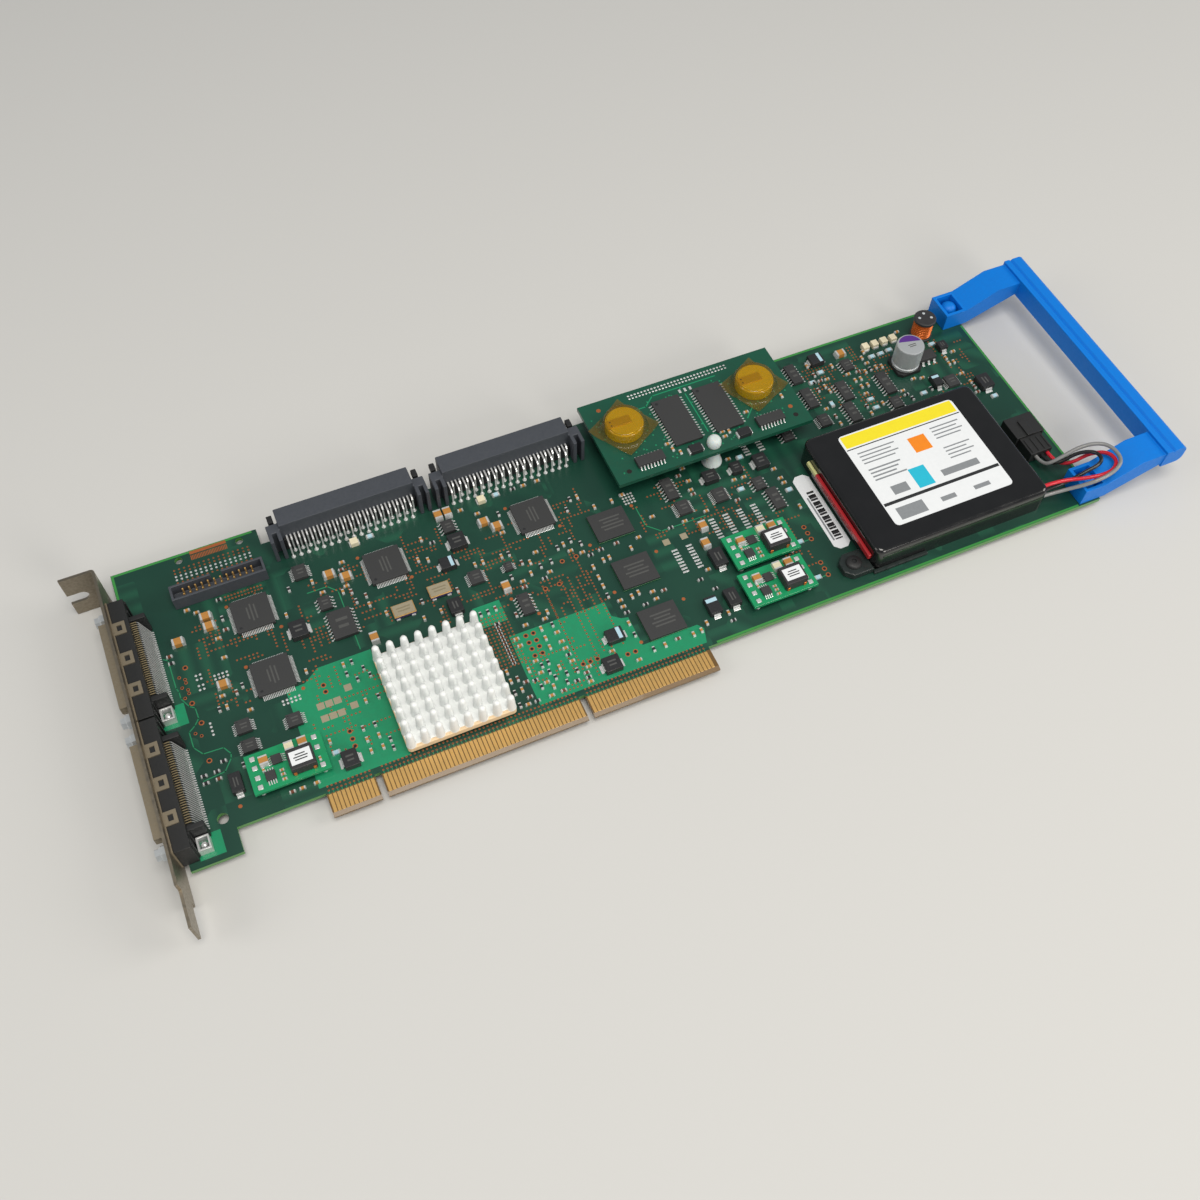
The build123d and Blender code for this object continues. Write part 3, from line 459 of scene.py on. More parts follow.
def seated(name, parts, slot, *nodes, angle=35):
    """Joins parts to one named piece, seats it on the card and lets it ride the frame."""
    piece = joined(parts)
    piece.name = piece.data.name = name
    piece.data.transform(SEAT)
    only(piece)
    bpy.ops.object.shade_smooth_by_angle(angle=math.radians(angle))
    weights = piece.modifiers.new("broad_faces", "WEIGHTED_NORMAL")
    weights.keep_sharp = True
    bpy.ops.object.modifier_apply(modifier=weights.name)
    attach(piece, "root")
    if nodes:
        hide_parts(*nodes)
    return piece


def rounded(name, node, coating, edge, slot):
    """Piece that keeps a CAD node's form, with its edges rounded."""
    seated(name, [softened(node, coating, edge)], slot, node)


def dressed(node, name):
    """Gives a CAD node that keeps its shape a finish."""
    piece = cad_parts[node]
    if piece.material_slots:
        piece.material_slots[0].material = finish(name)
    else:
        piece.data.materials.append(finish(name))


def print_bars(length, width, height, at=(0, 0), rows=3, name="laser_print"):
    """Rows of faint bars where a chip carries print."""
    bars = []
    for row in range(rows):
        y = at[1] + (row - (rows - 1) / 2) * width / rows
        share = (0.86, 1.0, 0.7, 0.9)[row % 4]
        bars.append(chip(length * share, width / rows * 0.42, height, height + INK, name, 0, at=(at[0], y)))
    return bars


def drawn_lines(points, width, low, name):
    """Straight runs of a trace between its corners."""
    runs = []
    for (x, y), (u, v) in zip(points, points[1:]):
        run = chip(math.hypot(u - x, v - y) + 0.3, width, low, low + INK, name, 0)
        turn = math.degrees(math.atan2(v - y, u - x))
        runs.append(copied(run, [((x + u) / 2, (y + v) / 2, 0, turn)]))
    return runs


def plated_hole(outer, inner, heights, sides):
    """Copper ring round a hole drawn as a near-black disc, painted shade where the hole is; each pair of
    radii runs from its foot to its top.
    """
    ring = turned([(outer[0], 0), (outer[1], heights[0])], (0, 0), "bare_copper", sides[0])
    hole = turned([(inner[0], heights[0]), (inner[1], heights[1])], (0, 0), "painted_hole_shade", sides[1])
    return joined([ring, hole])


# Settings

class CARD_PG_sizes(bpy.types.PropertyGroup):
    """Sizes that a user may change, in millimetres."""
    via: bpy.props.FloatProperty(
        name="Via pad", description="Diameter of a via's copper ring in mm", default=0.66)
    lead: bpy.props.FloatProperty(name="Lead width", description="Width of a chip lead in mm", default=0.42)
    fins: bpy.props.IntProperty(name="Fins", description="Pins along each side of the heat sink", default=8)
    wire: bpy.props.FloatProperty(name="Wire", description="Diameter of the battery leads in mm", default=1.3)
    lens: bpy.props.FloatProperty(name="Lens", description="Focal length of the camera in mm", default=37.5)


class CARD_PG_colours(bpy.types.PropertyGroup):
    """Colours of the studio."""
    floor: bpy.props.FloatVectorProperty(
        name="Floor", description="Colour of the floor", subtype="COLOR", size=4, default=linear("#c9c9c7"))
    light: bpy.props.FloatVectorProperty(
        name="Light", description="Colour of the soft lights", subtype="COLOR", size=3,
        default=linear("#fffaf2")[:3])


# Main board

# Pitch of the fingers, the plated holes and the wider leads
PITCH = 1.27
CONTACTS = (
    [56.98 + (n - 12.5) * PITCH for n in list(range(1, 12)) + list(range(14, 63))]
    + [123.655 + (n - 63) * PITCH for n in range(63, 95)])


def via_places():
    """Places of the plated holes: rows over the fingers, grids under the chips, and a scatter between."""
    places = [(x, y) for x in CONTACTS for y in (8.4, 9.8)]
    places += [(101.9 + PITCH * i, 26.0 + PITCH * j) for i in range(8) for j in range(16)]
    places += [(x, 20.0 + PITCH * j) for x in (125.7, 131.8, 134.4, 140.9) for j in range(24)]
    places += [(19.2 + 1.6 * i, y) for i in range(16) for y in (95.8, 99.6, 100.9)]
    places += [(31.6 + 1.05 * i, y) for i in range(12) for y in (83.5, 84.8)]
    spread = random.Random(11)
    fields = [(30, 62, 22, 40), (64, 68, 30, 26), (92, 68, 24, 26), (115, 66, 26, 22), (140, 66, 20, 24),
              (48, 54, 14, 24), (106, 52, 30, 10), (130, 40, 22, 26), (172, 60, 20, 22), (195, 56, 26, 20),
              (258, 86, 34, 30), (296, 80, 18, 22), (205, 34, 16, 26), (54, 28, 24, 30), (124, 20, 28, 16)]
    for x, y, length, width in fields:
        for _ in range(int(length * width * 0.045)):
            step = spread.choice(((PITCH, 0), (0, PITCH)))
            start = [PITCH * round((middle + spread.uniform(-0.5, 0.5) * side) / PITCH)
                     for middle, side in ((x, length), (y, width))]
            for place in range(spread.randint(2, 6)):
                places.append((start[0] + place * step[0], start[1] + place * step[1]))
    places = [(x, y) for x, y in places if 0.8 < x < 311 and 8 < y < 105.5]
    return sorted(set((round(x, 2), round(y, 2)) for x, y in places))


RINGED = (
    [(x, y) for x in (114, 116.5) for y in (34.3, 31.6, 29.2, 26.6)]
    + [(126.5, 18), (128.9, 18), (131.3, 18), (140.6, 15.8), (143.2, 15.8)]
    + [(214, 37), (214, 34.4), (214, 31.9), (212.3, 22.5), (212.3, 19.9), (212.3, 17.4)]
    + [(135.2, 55.7), (140.1, 55.7), (126.2, 48), (131, 48), (51, 42.2), (51, 39.8)]
    + [(53.7, 24.2), (53.7, 21.5), (53.7, 19), (14, 64.5), (13, 51.7), (14, 44.2), (13.1, 31.2)])
SMALL_RINGS = [
    (11.5, 61.8), (13, 60.5), (13, 59.3), (11.5, 58), (13, 56.7), (13, 55.4), (11.5, 54.2), (11.5, 41.4),
    (13, 40)]
TINNED_DOTS = (
    [(19.2 + 1.6 * n, y) for n in range(16) for y in (97.0, 98.3)]
    + [(x, y) for x in (16.3, 17.6) for y in (60.5, 59, 56.7, 55.2)]
    + [(x, y) for x in (21.5, 22.8, 24, 25.3) for y in (57, 58.3)]
    + [(16.3, y) for y in (43, 41.7, 40.3, 39)]
    + [(38.2 + PITCH * n, y) for n in range(5) for y in (40.5, 41.7)]
    + [(163.6 + 1.1 * n, y) for n in range(4) for y in (68.6, 69.8, 71.0, 72.2)])
FIDUCIALS = [
    (31.1, 81), (45, 67.3), (31.1, 57.5), (45.1, 43.6), (74.7, 82.7), (88.5, 69), (17.7, 13.7), (125.8, 82.6),
    (139.9, 69), (114.8, 48.7), (120.9, 40.3), (146, 58), (146, 38.2), (146.2, 18.1), (165, 67.3),
    (164.9, 47.3), (165.2, 27.3)]
BAR_PADS = (
    [(x, 36.4 + PITCH * n) for x in (170.5, 175.7) for n in range(8)]
    + [(x, 44.1 + PITCH * n) for x in (187, 192.2, 197.3, 202.5) for n in range(7)]
    + [(x, 71.5 + PITCH * n) for x in (211, 216.5) for n in range(5)])
SQUARE_PADS = (
    [(169.5, 49.3), (175.8, 49.3), (57.6, 38.6), (57.6, 32.1)]
    + [(x, y) for x in (48.2, 50.8, 53.4) for y in (35.6, 31.2)])
POURS = [
    [(40, 10), (68, 10), (68, 48.7), (51, 48.7), (46, 45), (40, 45)],
    [(109, 10), (165, 10), (166.5, 15), (165, 17), (146.2, 17), (146.2, 28), (144, 28.5), (141.5, 30.5),
     (141.5, 36), (109, 36)],
    [(102, 42), (111, 42), (111, 50), (102, 50)],
]
MARGINS = [
    ((0.1, 46.0), (105.8, 106.6)), ((165.0, 300.0), (105.8, 106.6)), ((311.2, 311.9), (20.0, 95.0)),
    ((168.0, 303.5), (8.5, 9.3)), ((0.1, 0.9), (90.5, 105.8))]
TRACES = [
    [(8.5, 70), (9.8, 69), (9.8, 58.5), (10.3, 57), (10.3, 54.5), (12, 51), (13.5, 49.8), (13.6, 46),
     (12, 44), (9.9, 42.5), (9.9, 37), (12, 34), (18, 33.7), (19.5, 31), (19.2, 29.5), (16.5, 26),
     (10, 25.4)],
    [(56, 76), (62.5, 76), (65.2, 73), (65.2, 50)],
    [(166, 66), (166, 58), (170, 54), (186, 54)], [(207, 17.4), (212, 17.4)], [(207, 31.9), (213.6, 31.9)],
]


class CARD_OT_circuit_board(bpy.types.Operator):
    """Main board: solder mask, copper pours, traces, plated holes and bare pads"""
    bl_idname = "card.circuit_board"
    bl_label = "Circuit board"

    def execute(self, context):
        dressed("circuit_board", "mask_over_traces")
        pours = [outline_plate(points, 0, 0.015, "mask_over_pour") for points in POURS]
        for x, y in MARGINS:
            pours.append(block(x, y, (0, 0.012), "mask_over_laminate", 0))
        for points in TRACES:
            pours += drawn_lines(points, 0.34, 0, "mask_over_trace")
        seated("copper_pours", pours, "light_green_board")
        radius = context.scene.card_sizes.via / 2
        via = plated_hole((radius, radius * 0.9), (radius * 0.4, radius * 0.38), (0.03, 0.034), (8, 6))
        places = flat(via_places())
        places += [(x, y, UNDERSIDE - 0.033, 0) for x, y, _, _ in places]
        seated("plated_vias", [copied(via, places)], "copper_wire")
        rings = copied(plated_hole((0.85, 0.8), (0.5, 0.48), (0.035, 0.04), (16, 12)), flat(RINGED))
        small_ring = plated_hole((0.55, 0.5), (0.32, 0.3), (0.035, 0.04), (12, 10))
        small_rings = copied(small_ring, flat(SMALL_RINGS))
        spot = turned([(0.62, 0), (0.58, 0.04)], (0, 0), "bare_copper", 12)
        spots = copied(spot, flat(FIDUCIALS))
        strip = [chip(0.3, 1.9, 0, 0.03, "bare_copper", 0, at=(25.5 + 0.5 * n, 103.7)) for n in range(24)]
        strip += [chip(11.9, 1.2, 0, 0.025, "bare_copper", 0, at=(31.25, 105.7))]
        seated("copper_marks", [rings, small_rings, spots] + strip, "copper_wire")
        bar = chip(2.1, 0.62, 0, 0.06, "tin_with_painted_reflection", 0.02)
        square = chip(2.3, 2.3, 0, 0.05, "tan_lid", 0.02)
        dot = turned([(0.42, 0), (0.38, 0.06), (0.2, 0.1)], (0, 0), "tin_with_painted_reflection", 8)
        dots = copied(dot, flat(TINNED_DOTS))
        bars = copied(bar, flat(BAR_PADS))
        squares = copied(square, flat(SQUARE_PADS))
        seated("bare_pads", [dots, bars, squares], "tinned_lead")
        finger = block((-0.5, 0.5), (1.25, 7.1), (0, 0.08), "hard_gold_plate", 0.03)
        tail = block((-0.12, 0.12), (7.1, 8.2), (0, 0.03), "mask_over_trace", 0)
        top = flat((x, 0) for x in CONTACTS)
        under = [(x, 0, UNDERSIDE - 0.08, 0) for x in CONTACTS]
        seated("gold_fingers", [copied(joined([finger, tail]), top + under)], "gold_plate", "edge_contacts")
        return {"FINISHED"}


# Chips

PROCESSOR = (84.6, 26.8)
PROCESSOR_TOP = 1.7
SINK_SIDE = 34.2
SINK_BASE_TOP = 3.7
REGULATOR = (290.5, 86.0)
QUADS = [(38.0, 75.0), (38.0, 51.0), (82.0, 76.0), (132.9, 75.9)]
MEMORIES = [(155.3, 62.6), (155.3, 42.7), (155.3, 22.5)]
OUTLINES = [
    (25.2, 37.6, 4.4, 4.6), (25.2, 30.8, 4.4, 4.2), (39.7, 33.8, 4.4, 4.4), (56.0, 84.0, 4.4, 5.2),
    (60.0, 69.6, 3.9, 4.9), (62.8, 60.4, 7.5, 10.3), (105.7, 82.4, 3.9, 4.9), (107.2, 60.2, 4.4, 5.0),
    (118.2, 60.0, 2.6, 3.2), (118.1, 44.6, 3.9, 7.8), (179.2, 68.0, 3.9, 8.7), (180.3, 59.2, 4.6, 5.4),
    (193.8, 59.2, 4.6, 5.4), (208.1, 58.4, 3.9, 4.9), (210.5, 50.7, 3.9, 8.7), (226.8, 73.3, 3.9, 4.9),
    (242.0, 97.0, 3.9, 8.7), (242.0, 85.0, 3.9, 8.7), (242.0, 74.0, 4.0, 5.0), (253.0, 73.6, 3.9, 8.7),
    (255.2, 83.2, 3.9, 8.6), (262.0, 93.6, 3.9, 4.9), (270.8, 80.8, 3.9, 10.0), (269.6, 71.4, 3.9, 4.9),
    (293.0, 72.4, 4.5, 4.9)]


def gull_wing(reach, height, width):
    """One gull wing lead that leaves a body along X at a height and lands on the board."""
    knee = height - 0.12
    return bent_strip((reach - 0.1, 0, height), width, 0.16,
                      [(0.35, 0), (0.3, -knee), (0.55, 0)], "tin_with_painted_reflection")


def leads_both_sides(half, height, count, pitch, width):
    """Leads along the two sides of a body that face along X."""
    lead = gull_wing(half, height, width)
    places = [(0, (n - (count - 1) / 2) * pitch) for n in range(count)]
    return copied(lead, flat(places) + flat(places, 180))


def outline_package(length, depth, width):
    """Small-outline chip with leads on two sides, a dot at its first lead and faint print."""
    coarse = length in (3.9, 7.5)
    pitch = PITCH if coarse else 0.65
    count = int((depth - 0.3) / pitch) + 1 if coarse else int((depth - 0.2) / pitch)
    parts = [chip(length, depth, 0.15, 1.6, "epoxy_moulding", 0.18, 2)]
    parts.append(leads_both_sides(length / 2, 0.85, count, pitch, width if coarse else 0.3))
    parts += print_bars(length * 0.5, depth * 0.5, 1.6, (0.2, 0), 2)
    corner = (-length / 2 + 0.7, depth / 2 - 0.7)
    parts.append(turned([(0.3, 1.6), (0.27, 1.61)], corner, "epoxy_gloss", 12))
    return joined(parts)


class CARD_OT_chips(bpy.types.Operator):
    """Square, ball-grid and small-outline chips with their leads"""
    bl_idname = "card.chips"
    bl_label = "Chips"

    def execute(self, context):
        body = chip(12, 12, 0.1, 1.6, "epoxy_moulding", 0.22, 2)
        row = leads_both_sides(6, 0.75, 20, 0.5, 0.26)
        parts = [body, copied(row, [(0, 0, 0, 0), (0, 0, 0, 90)])]
        parts.append(turned([(0.5, 1.6), (0.45, 1.615)], (-4.6, -4.6), "epoxy_gloss", 16))
        parts += [copied(bar, [(0, 0, 0, 90)]) for bar in print_bars(6.5, 3.6, 1.6)]
        seated("square_chips", [copied(joined(parts), flat(QUADS))], "chip_epoxy", "bus_controllers")
        parts = [chip(13, 11.3, 0.25, 0.5, "mask_over_traces", 0.03)]
        parts.append(chip(12.7, 11, 0.5, 1.2, "epoxy_moulding", 0.15, 2))
        parts += print_bars(8, 5.5, 1.2, (0.5, 0.3), 4)
        ball = chip(0.4, 0.4, 0, 0.25, "tin_with_painted_reflection", 0.1)
        parts.append(copied(ball, flat((-6 + 1.2 * i, y) for i in range(11) for y in (-5, 5))))
        seated("memory_packages", [copied(joined(parts), flat(MEMORIES))], "chip_epoxy", "memory_chips")
        width = context.scene.card_sizes.lead
        groups = []
        for length, depth in sorted(set(place[2:] for place in OUTLINES)):
            model = outline_package(length, depth, width)
            places = flat((x, y) for x, y, a, b in OUTLINES if (a, b) == (length, depth))
            groups.append(copied(model, places))
        regulator = [chip(6.6, 4.2, 0.1, 2.3, "epoxy_moulding", 0.25, 2, REGULATOR)]
        lead = copied(gull_wing(2.1, 1.0, 0.9), [(0, 0, 0, -90)])
        regulator.append(copied(lead, flat((REGULATOR[0] + step, REGULATOR[1]) for step in (-2.3, 0, 2.3))))
        tab = copied(gull_wing(2.1, 1.0, 3.2), flat([REGULATOR], 90))
        seated("outline_packages", groups + regulator + [tab], "chip_epoxy", "outline_chips")
        package = chip(31, 31, 0, PROCESSOR_TOP, "epoxy_moulding", 0.2, 2, PROCESSOR)
        seated("processor_package", [package], "chip_epoxy", "processor")
        return {"FINISHED"}


class CARD_OT_heat_sink(bpy.types.Operator):
    """Pin-fin heat sink: eased base plate with tapered round pins"""
    bl_idname = "card.heat_sink"
    bl_label = "Heat sink"

    def execute(self, context):
        x, y = PROCESSOR
        count = context.scene.card_sizes.fins
        pitch = (SINK_SIDE - 2.8) / (count - 1)
        base = chip(SINK_SIDE, SINK_SIDE, PROCESSOR_TOP, SINK_BASE_TOP, "cream_adhesive", 0, at=(x, y))
        eased(base, lambda centre, along: abs(along.z) > 1, 1.1, 4)
        eased(base, lambda centre, normal: normal.z > 0.9, 0.25, 2, "FACE")
        pad = block((x - 16.8, x + 16.2), (y - 16.1, y + 16.8), (3.6, 3.95), "blasted_anodise", 0.3, 2)
        profile = [(1.55, SINK_BASE_TOP), (1.5, 4.0), (1.4, 4.6), (1.3, 6.5), (1.1, 9.6), (0.85, 10.25),
                   (0.4, 10.55)]
        pin = turned(profile, (0, 0), "blasted_anodise", 16)
        steps = [(n - (count - 1) / 2) * pitch for n in range(count)]
        pins = copied(pin, flat((x + a, y + b) for a in steps for b in steps))
        seated("pin_fin_sink", [base, pad, pins], "white_anodise", "heat_sink", angle=50)
        return {"FINISHED"}


# Small parts

TANTALUMS = [
    (18.7, 20.4, 3.6, 7.3), (51.2, 14.8, 5.6, 5.6), (49.7, 63.2, 6.2, 6.2), (97.4, 52.2, 4.3, 6.4),
    (100.6, 68.4, 5.8, 4.4), (106.4, 75.4, 6.4, 5.8), (139.2, 22.8, 6.6, 4.6), (134.4, 13.8, 6.4, 5.2),
    (181.8, 36.4, 4.6, 7.6), (172.2, 20.6, 4.2, 7.2), (179.2, 21.0, 4.2, 7.2), (194.0, 67.0, 6.0, 4.6),
    (203.8, 67.0, 4.6, 4.4), (212.8, 66.4, 5.6, 5.6), (252.6, 99.8, 6.0, 4.6), (287.6, 74.2, 3.2, 5.8),
    (303.4, 67.2, 4.8, 7.0), (298.5, 88.0, 3.4, 4.4)]
BANDED = {(100.6, 68.4), (139.2, 22.8), (172.2, 20.6), (252.6, 99.8), (287.6, 74.2)}
CERAMICS = (
    flat([(24.3, 79.4), (24.5, 75.6), (14.2, 73.6), (23.3, 53.8), (64.4, 79.6), (69.2, 76.8), (117.1, 79.6),
          (120.6, 76.4)])
    + flat([(114.8, 53.2), (104.2, 88.0), (107.4, 88.0), (183.0, 50.0), (180.8, 43.4), (70.4, 51.6)], 90)
    + flat([(262.6, 99.4)]))
CHIPS_ALONG = [
    (10.5, 26.8), (14.3, 26.8), (10.5, 24.3), (14.3, 24.3), (16.9, 29.3), (32.7, 12.0), (35.7, 12.0),
    (40, 12.0), (10.5, 70), (10.5, 67.4), (28.9, 72.8), (25.9, 70.6), (22, 82.4), (25.9, 63.2), (22, 50.4),
    (28.5, 42.6), (60.5, 74.2), (68.2, 73.6), (69.5, 82.9), (68.4, 80.2), (98.9, 78.8), (19.4, 84.4),
    (29.6, 84.4), (113.4, 24.6), (123.4, 31.5), (123.4, 27.9), (123.6, 25.2), (123.6, 22.7), (123.8, 20.2),
    (113.4, 20.2), (108, 19), (110.8, 18.4), (113.8, 16.4), (107.2, 13.7), (105.8, 11.6), (108.8, 11.6),
    (113.5, 11.6), (117.5, 11.8), (122.5, 13.3), (126.3, 14.7), (126.3, 13), (126.3, 11.4), (127.7, 16.4),
    (136.5, 18.6), (143.0, 12.5), (110.8, 34.2), (111, 31.5), (146.3, 34.5), (146.3, 32), (146.5, 29.6),
    (115.3, 37.8), (121.8, 37.6), (107.2, 41.6), (128.5, 62.2), (121.4, 73.6), (129.9, 53.3),
    (127.5, 51.7), (120.6, 53.3), (120.3, 51), (142.5, 56.2), (148.5, 54.8), (144.6, 54.2), (139.2, 58.3),
    (131, 89), (134.8, 89), (139.8, 89), (111.8, 87.5), (116.5, 84), (157.2, 33.5), (160.8, 32.6),
    (157.2, 30.6), (153.2, 30.0), (157.2, 14.6), (154.2, 55.2), (161.8, 54.5), (163.8, 72.5),
    (169.4, 60.3), (173.3, 31.6), (177.3, 34.2), (176.2, 26.7), (176.2, 13.8), (173.2, 53.8),
    (178.6, 54.4), (184.7, 72.3), (187.3, 74.7), (187, 69), (186, 65.3), (186, 63.4), (187, 55.4),
    (198.7, 55.4), (201.4, 63.4), (205, 63.2), (203.6, 72.2), (216, 62.3), (216.3, 58), (216.5, 55.8),
    (247.4, 91.2), (250.0, 91.2), (252.6, 90.9), (260.8, 90.1), (264.7, 89.8), (262.2, 79.6),
    (245.6, 78.8), (269.7, 92.1), (274.9, 75.6), (275.2, 73.5), (298.9, 74.6), (281.4, 79.0),
    (287.6, 101.2), (299.4, 64.8), (301.6, 84.9), (284.6, 78.2)]
CHIPS_ACROSS = [
    (22.0, 25.8), (47.3, 23.2), (28.9, 77.2), (26.3, 50), (28.5, 51.6), (20.1, 46.3), (22.4, 46.3),
    (47.6, 70.5), (47.6, 48.8), (51, 79.5), (58.6, 79.5), (66.5, 72), (69, 71), (69.4, 67), (72.8, 67.8),
    (72.8, 64.2), (76.7, 59), (88.4, 58.7), (87, 52.5), (92.8, 53), (95.9, 81.5), (92.4, 74.2), (95.4, 73),
    (100.2, 58.4), (57.6, 23.5), (61.3, 23.5), (57.6, 19.5), (61.3, 19.5), (57.6, 15.5), (61.3, 15.5),
    (64, 14), (64, 17), (61.2, 32), (65.2, 32), (61.2, 40), (65.2, 40), (64, 43), (58.7, 43), (58.7, 46.5),
    (61.3, 46.5), (103.8, 24.4), (110.3, 22.5), (114.6, 22.4), (116.8, 22.7), (103.8, 21.0), (106.0, 21),
    (115.9, 19.5), (119.3, 19.8), (119.3, 27.5), (119.3, 31), (119.3, 34.7), (123.1, 34.7), (123.4, 39.7),
    (116.9, 17.0), (120.6, 16.9), (111.8, 15.6), (115.2, 14.3), (119.6, 14.1), (123.9, 16.6),
    (103.5, 16.8), (105.9, 17.0), (103.4, 12.2), (103.7, 46.9), (106.2, 46.9), (108.8, 47.2),
    (114.0, 42.5), (108.7, 65.3), (111.4, 65.3), (117.7, 65.0), (120.2, 65.0), (122.9, 60.2),
    (125.4, 59.3), (128, 56.6), (131.8, 56.9), (117.8, 56.2), (124.1, 55.2), (135.7, 61.0), (138, 61.6),
    (147.0, 77.6), (149.6, 77.6), (144.4, 74), (122.9, 81.2), (140.7, 62.1), (143.4, 59.7), (143.5, 49.6),
    (143.5, 45.3), (143.5, 41.7), (143.4, 37.8), (145.4, 25.8), (145.4, 21.3), (148.7, 14.2),
    (152.6, 14.2), (162.4, 14.2), (165.3, 14.5), (150.4, 34.5), (152.9, 35.0), (147.6, 50.8),
    (149.8, 51.0), (153.3, 71.5), (159.6, 71.5), (157.8, 51.6), (176, 17.0), (168, 16.3), (216.7, 45),
    (248.8, 99.3), (249.2, 94.4), (250.2, 88.2), (257.2, 95.9), (271.1, 97.4), (269.2, 95.0),
    (267.2, 88.8), (269.4, 89.2), (271.7, 89.2), (273.9, 88.8), (261.7, 86.5), (263.9, 86.5),
    (262.4, 83.2), (264.8, 83.0), (250.8, 85.7), (247.2, 87.6), (259.4, 74.3), (259.4, 70.9),
    (276.4, 71.2), (284.9, 72.6), (297.5, 83.2), (297.2, 80.5), (299.2, 80.5), (299.7, 69.9),
    (299.7, 67.3), (247.0, 74.6), (247.0, 71.0), (265.4, 73.4)]
BLUE_CHIPS = (
    flat([(48, 19), (81, 89.2), (125, 89), (207.6, 71.4), (201.8, 59), (216.7, 52.5), (209.9, 32.2),
          (208.6, 17.6), (252, 94.7), (246.9, 91.5), (273, 94.2), (276.7, 94.2), (280.4, 94.6)])
    + flat([(248.5, 80)], 90)
    + flat([(262.3, 76.6), (262.3, 72.5), (281.4, 71.8), (296.4, 91.0), (304, 60.9)]))
FUSES = flat([(75.5, 88.4), (119.5, 88.4)]) + flat([(x, 98.6) for x in (272.6, 276.4, 280.2, 284.0)], 90)


def end_capped(length, width, height, cap, name):
    """Chip part along X with tinned end caps and sloping solder at both ends."""
    half = length / 2
    parts = [block((-half + cap, half - cap), (-width / 2, width / 2), (0.02, height - 0.03), name, 0)]
    end = block((half - cap, half), (-width / 2 - 0.02, width / 2 + 0.02), (0, height), "tin_with_painted_reflection", 0)
    pick(end, lambda centre, normal: normal.x > 0.9)
    bpy.ops.mesh.extrude_region_move(TRANSFORM_OT_translate={"value": (cap * 0.7, 0, -height * 0.3)})
    bpy.ops.transform.resize(value=(1, 1, 0.35), center_override=(half + cap * 0.7, 0, 0))
    done()
    for vertex in end.data.vertices:
        vertex.co.z = max(vertex.co.z, 0)
    parts.append(copied(end, BOTH_WAYS))
    return joined(parts)


def tantalum(along, across, banded):
    """Moulded tantalum capacitor along X, with a pale band or faint print on top."""
    body = chip(along - 0.6, across, 0.1, 2.5, "epoxy_gloss", 0.22, 2)
    lead = gull_wing(along / 2 - 0.35, 1.15, across * 0.55)
    parts = [body, copied(lead, BOTH_WAYS)]
    if banded:
        band = (along * 0.22, 0)
        parts.append(chip(along * 0.2, across - 0.5, 2.5, 2.5 + INK, "pale_blue_glaze", 0, at=band))
    else:
        parts += print_bars(along * 0.45, across * 0.5, 2.5, (0, 0), 2)
    return joined(parts)


class CARD_OT_small_parts(bpy.types.Operator):
    """Tantalum and ceramic capacitors, chip parts, oscillators and fuses"""
    bl_idname = "card.small_parts"
    bl_label = "Small parts"

    def execute(self, context):
        groups = []
        for x, y, length, width in TANTALUMS:
            along = max(length, width) - 0.3
            across = min(length, width)
            turn = 0 if length >= width else 90
            model = tantalum(along, across, (x, y) in BANDED)
            groups.append(copied(model, [(x, y, 0, turn)]))
        small = [chip(4.4, 3.2, DECK + 0.1, DECK + 1.9, "epoxy_gloss", 0.2, 2)]
        foot = chip(0.9, 2.4, DECK, DECK + 1.1, "tin_with_painted_reflection", 0.08)
        small.append(copied(foot, flat([(-2.3, 0), (2.3, 0)])))
        groups.append(copied(joined(small), flat([(191.4, 74.1), (209.6, 74.1)])))
        seated("tantalum_packages", groups, "chip_epoxy", "tantalum_capacitors")
        big = end_capped(3.4, 2.5, 1.8, 0.6, "fired_brown_ceramic")
        seated("large_ceramics", [copied(big, CERAMICS)], "brown_ceramic", "ceramic_capacitors")
        groups = []
        spread = random.Random(5)
        places = flat(CHIPS_ALONG) + flat(CHIPS_ACROSS, 90)
        kinds = [spread.random() for _ in places]
        shares = (("fired_brown_ceramic", 0, 0.62), ("black_resistor_film", 0.62, 0.9),
                  ("dark_ceramic", 0.9, 1))
        for name, low, high in shares:
            model = end_capped(1.6, 0.8, 0.7, 0.35, name)
            groups.append(copied(model, [place for place, kind in zip(places, kinds) if low <= kind < high]))
        column = end_capped(1.1, 0.6, 0.5, 0.25, "black_resistor_film")
        groups.append(copied(column, flat((107, 26.5 + PITCH * n) for n in range(12))))
        blue = end_capped(2.2, 1.3, 0.7, 0.4, "pale_blue_glaze")
        groups.append(copied(blue, BLUE_CHIPS))
        seated("chip_parts", groups, "tan_ceramic", "chip_capacitors")
        case = chip(7.2, 4.6, 0.25, 1.25, "purple_ceramic", 0.12)
        rim = chip(7.2, 4.6, 1.25, 1.6, "hard_gold_plate", 0.1)
        lid = chip(6.7, 4.1, 1.55, 1.8, "tan_lid", 0.12, 2)
        foot = chip(1.3, 1.0, 0, 0.5, "tin_with_painted_reflection", 0.08)
        feet = copied(foot, flat((a, b) for a in (-2.5, 2.5) for b in (-2.2, 2.2)))
        clock = joined([case, rim, lid, feet] + print_bars(4.6, 2.2, 1.8, (0, 0), 2, "tan_ceramic_print"))
        clocks = copied(clock, flat([(82.0, 57.6), (94.8, 60.2)]))
        seated("clock_oscillators", [clocks], "tan_ceramic", "oscillators")
        fuse = joined([chip(2.6, 2.4, 0, 2.0, "dipped_cream_polymer", 0.15, 2),
                       chip(3.4, 2.0, 0, 0.9, "tin_with_painted_reflection", 0.08)])
        seated("cream_fuses", [copied(fuse, FUSES)], "cream_polymer", "resettable_fuses")
        return {"FINISHED"}


# Connectors

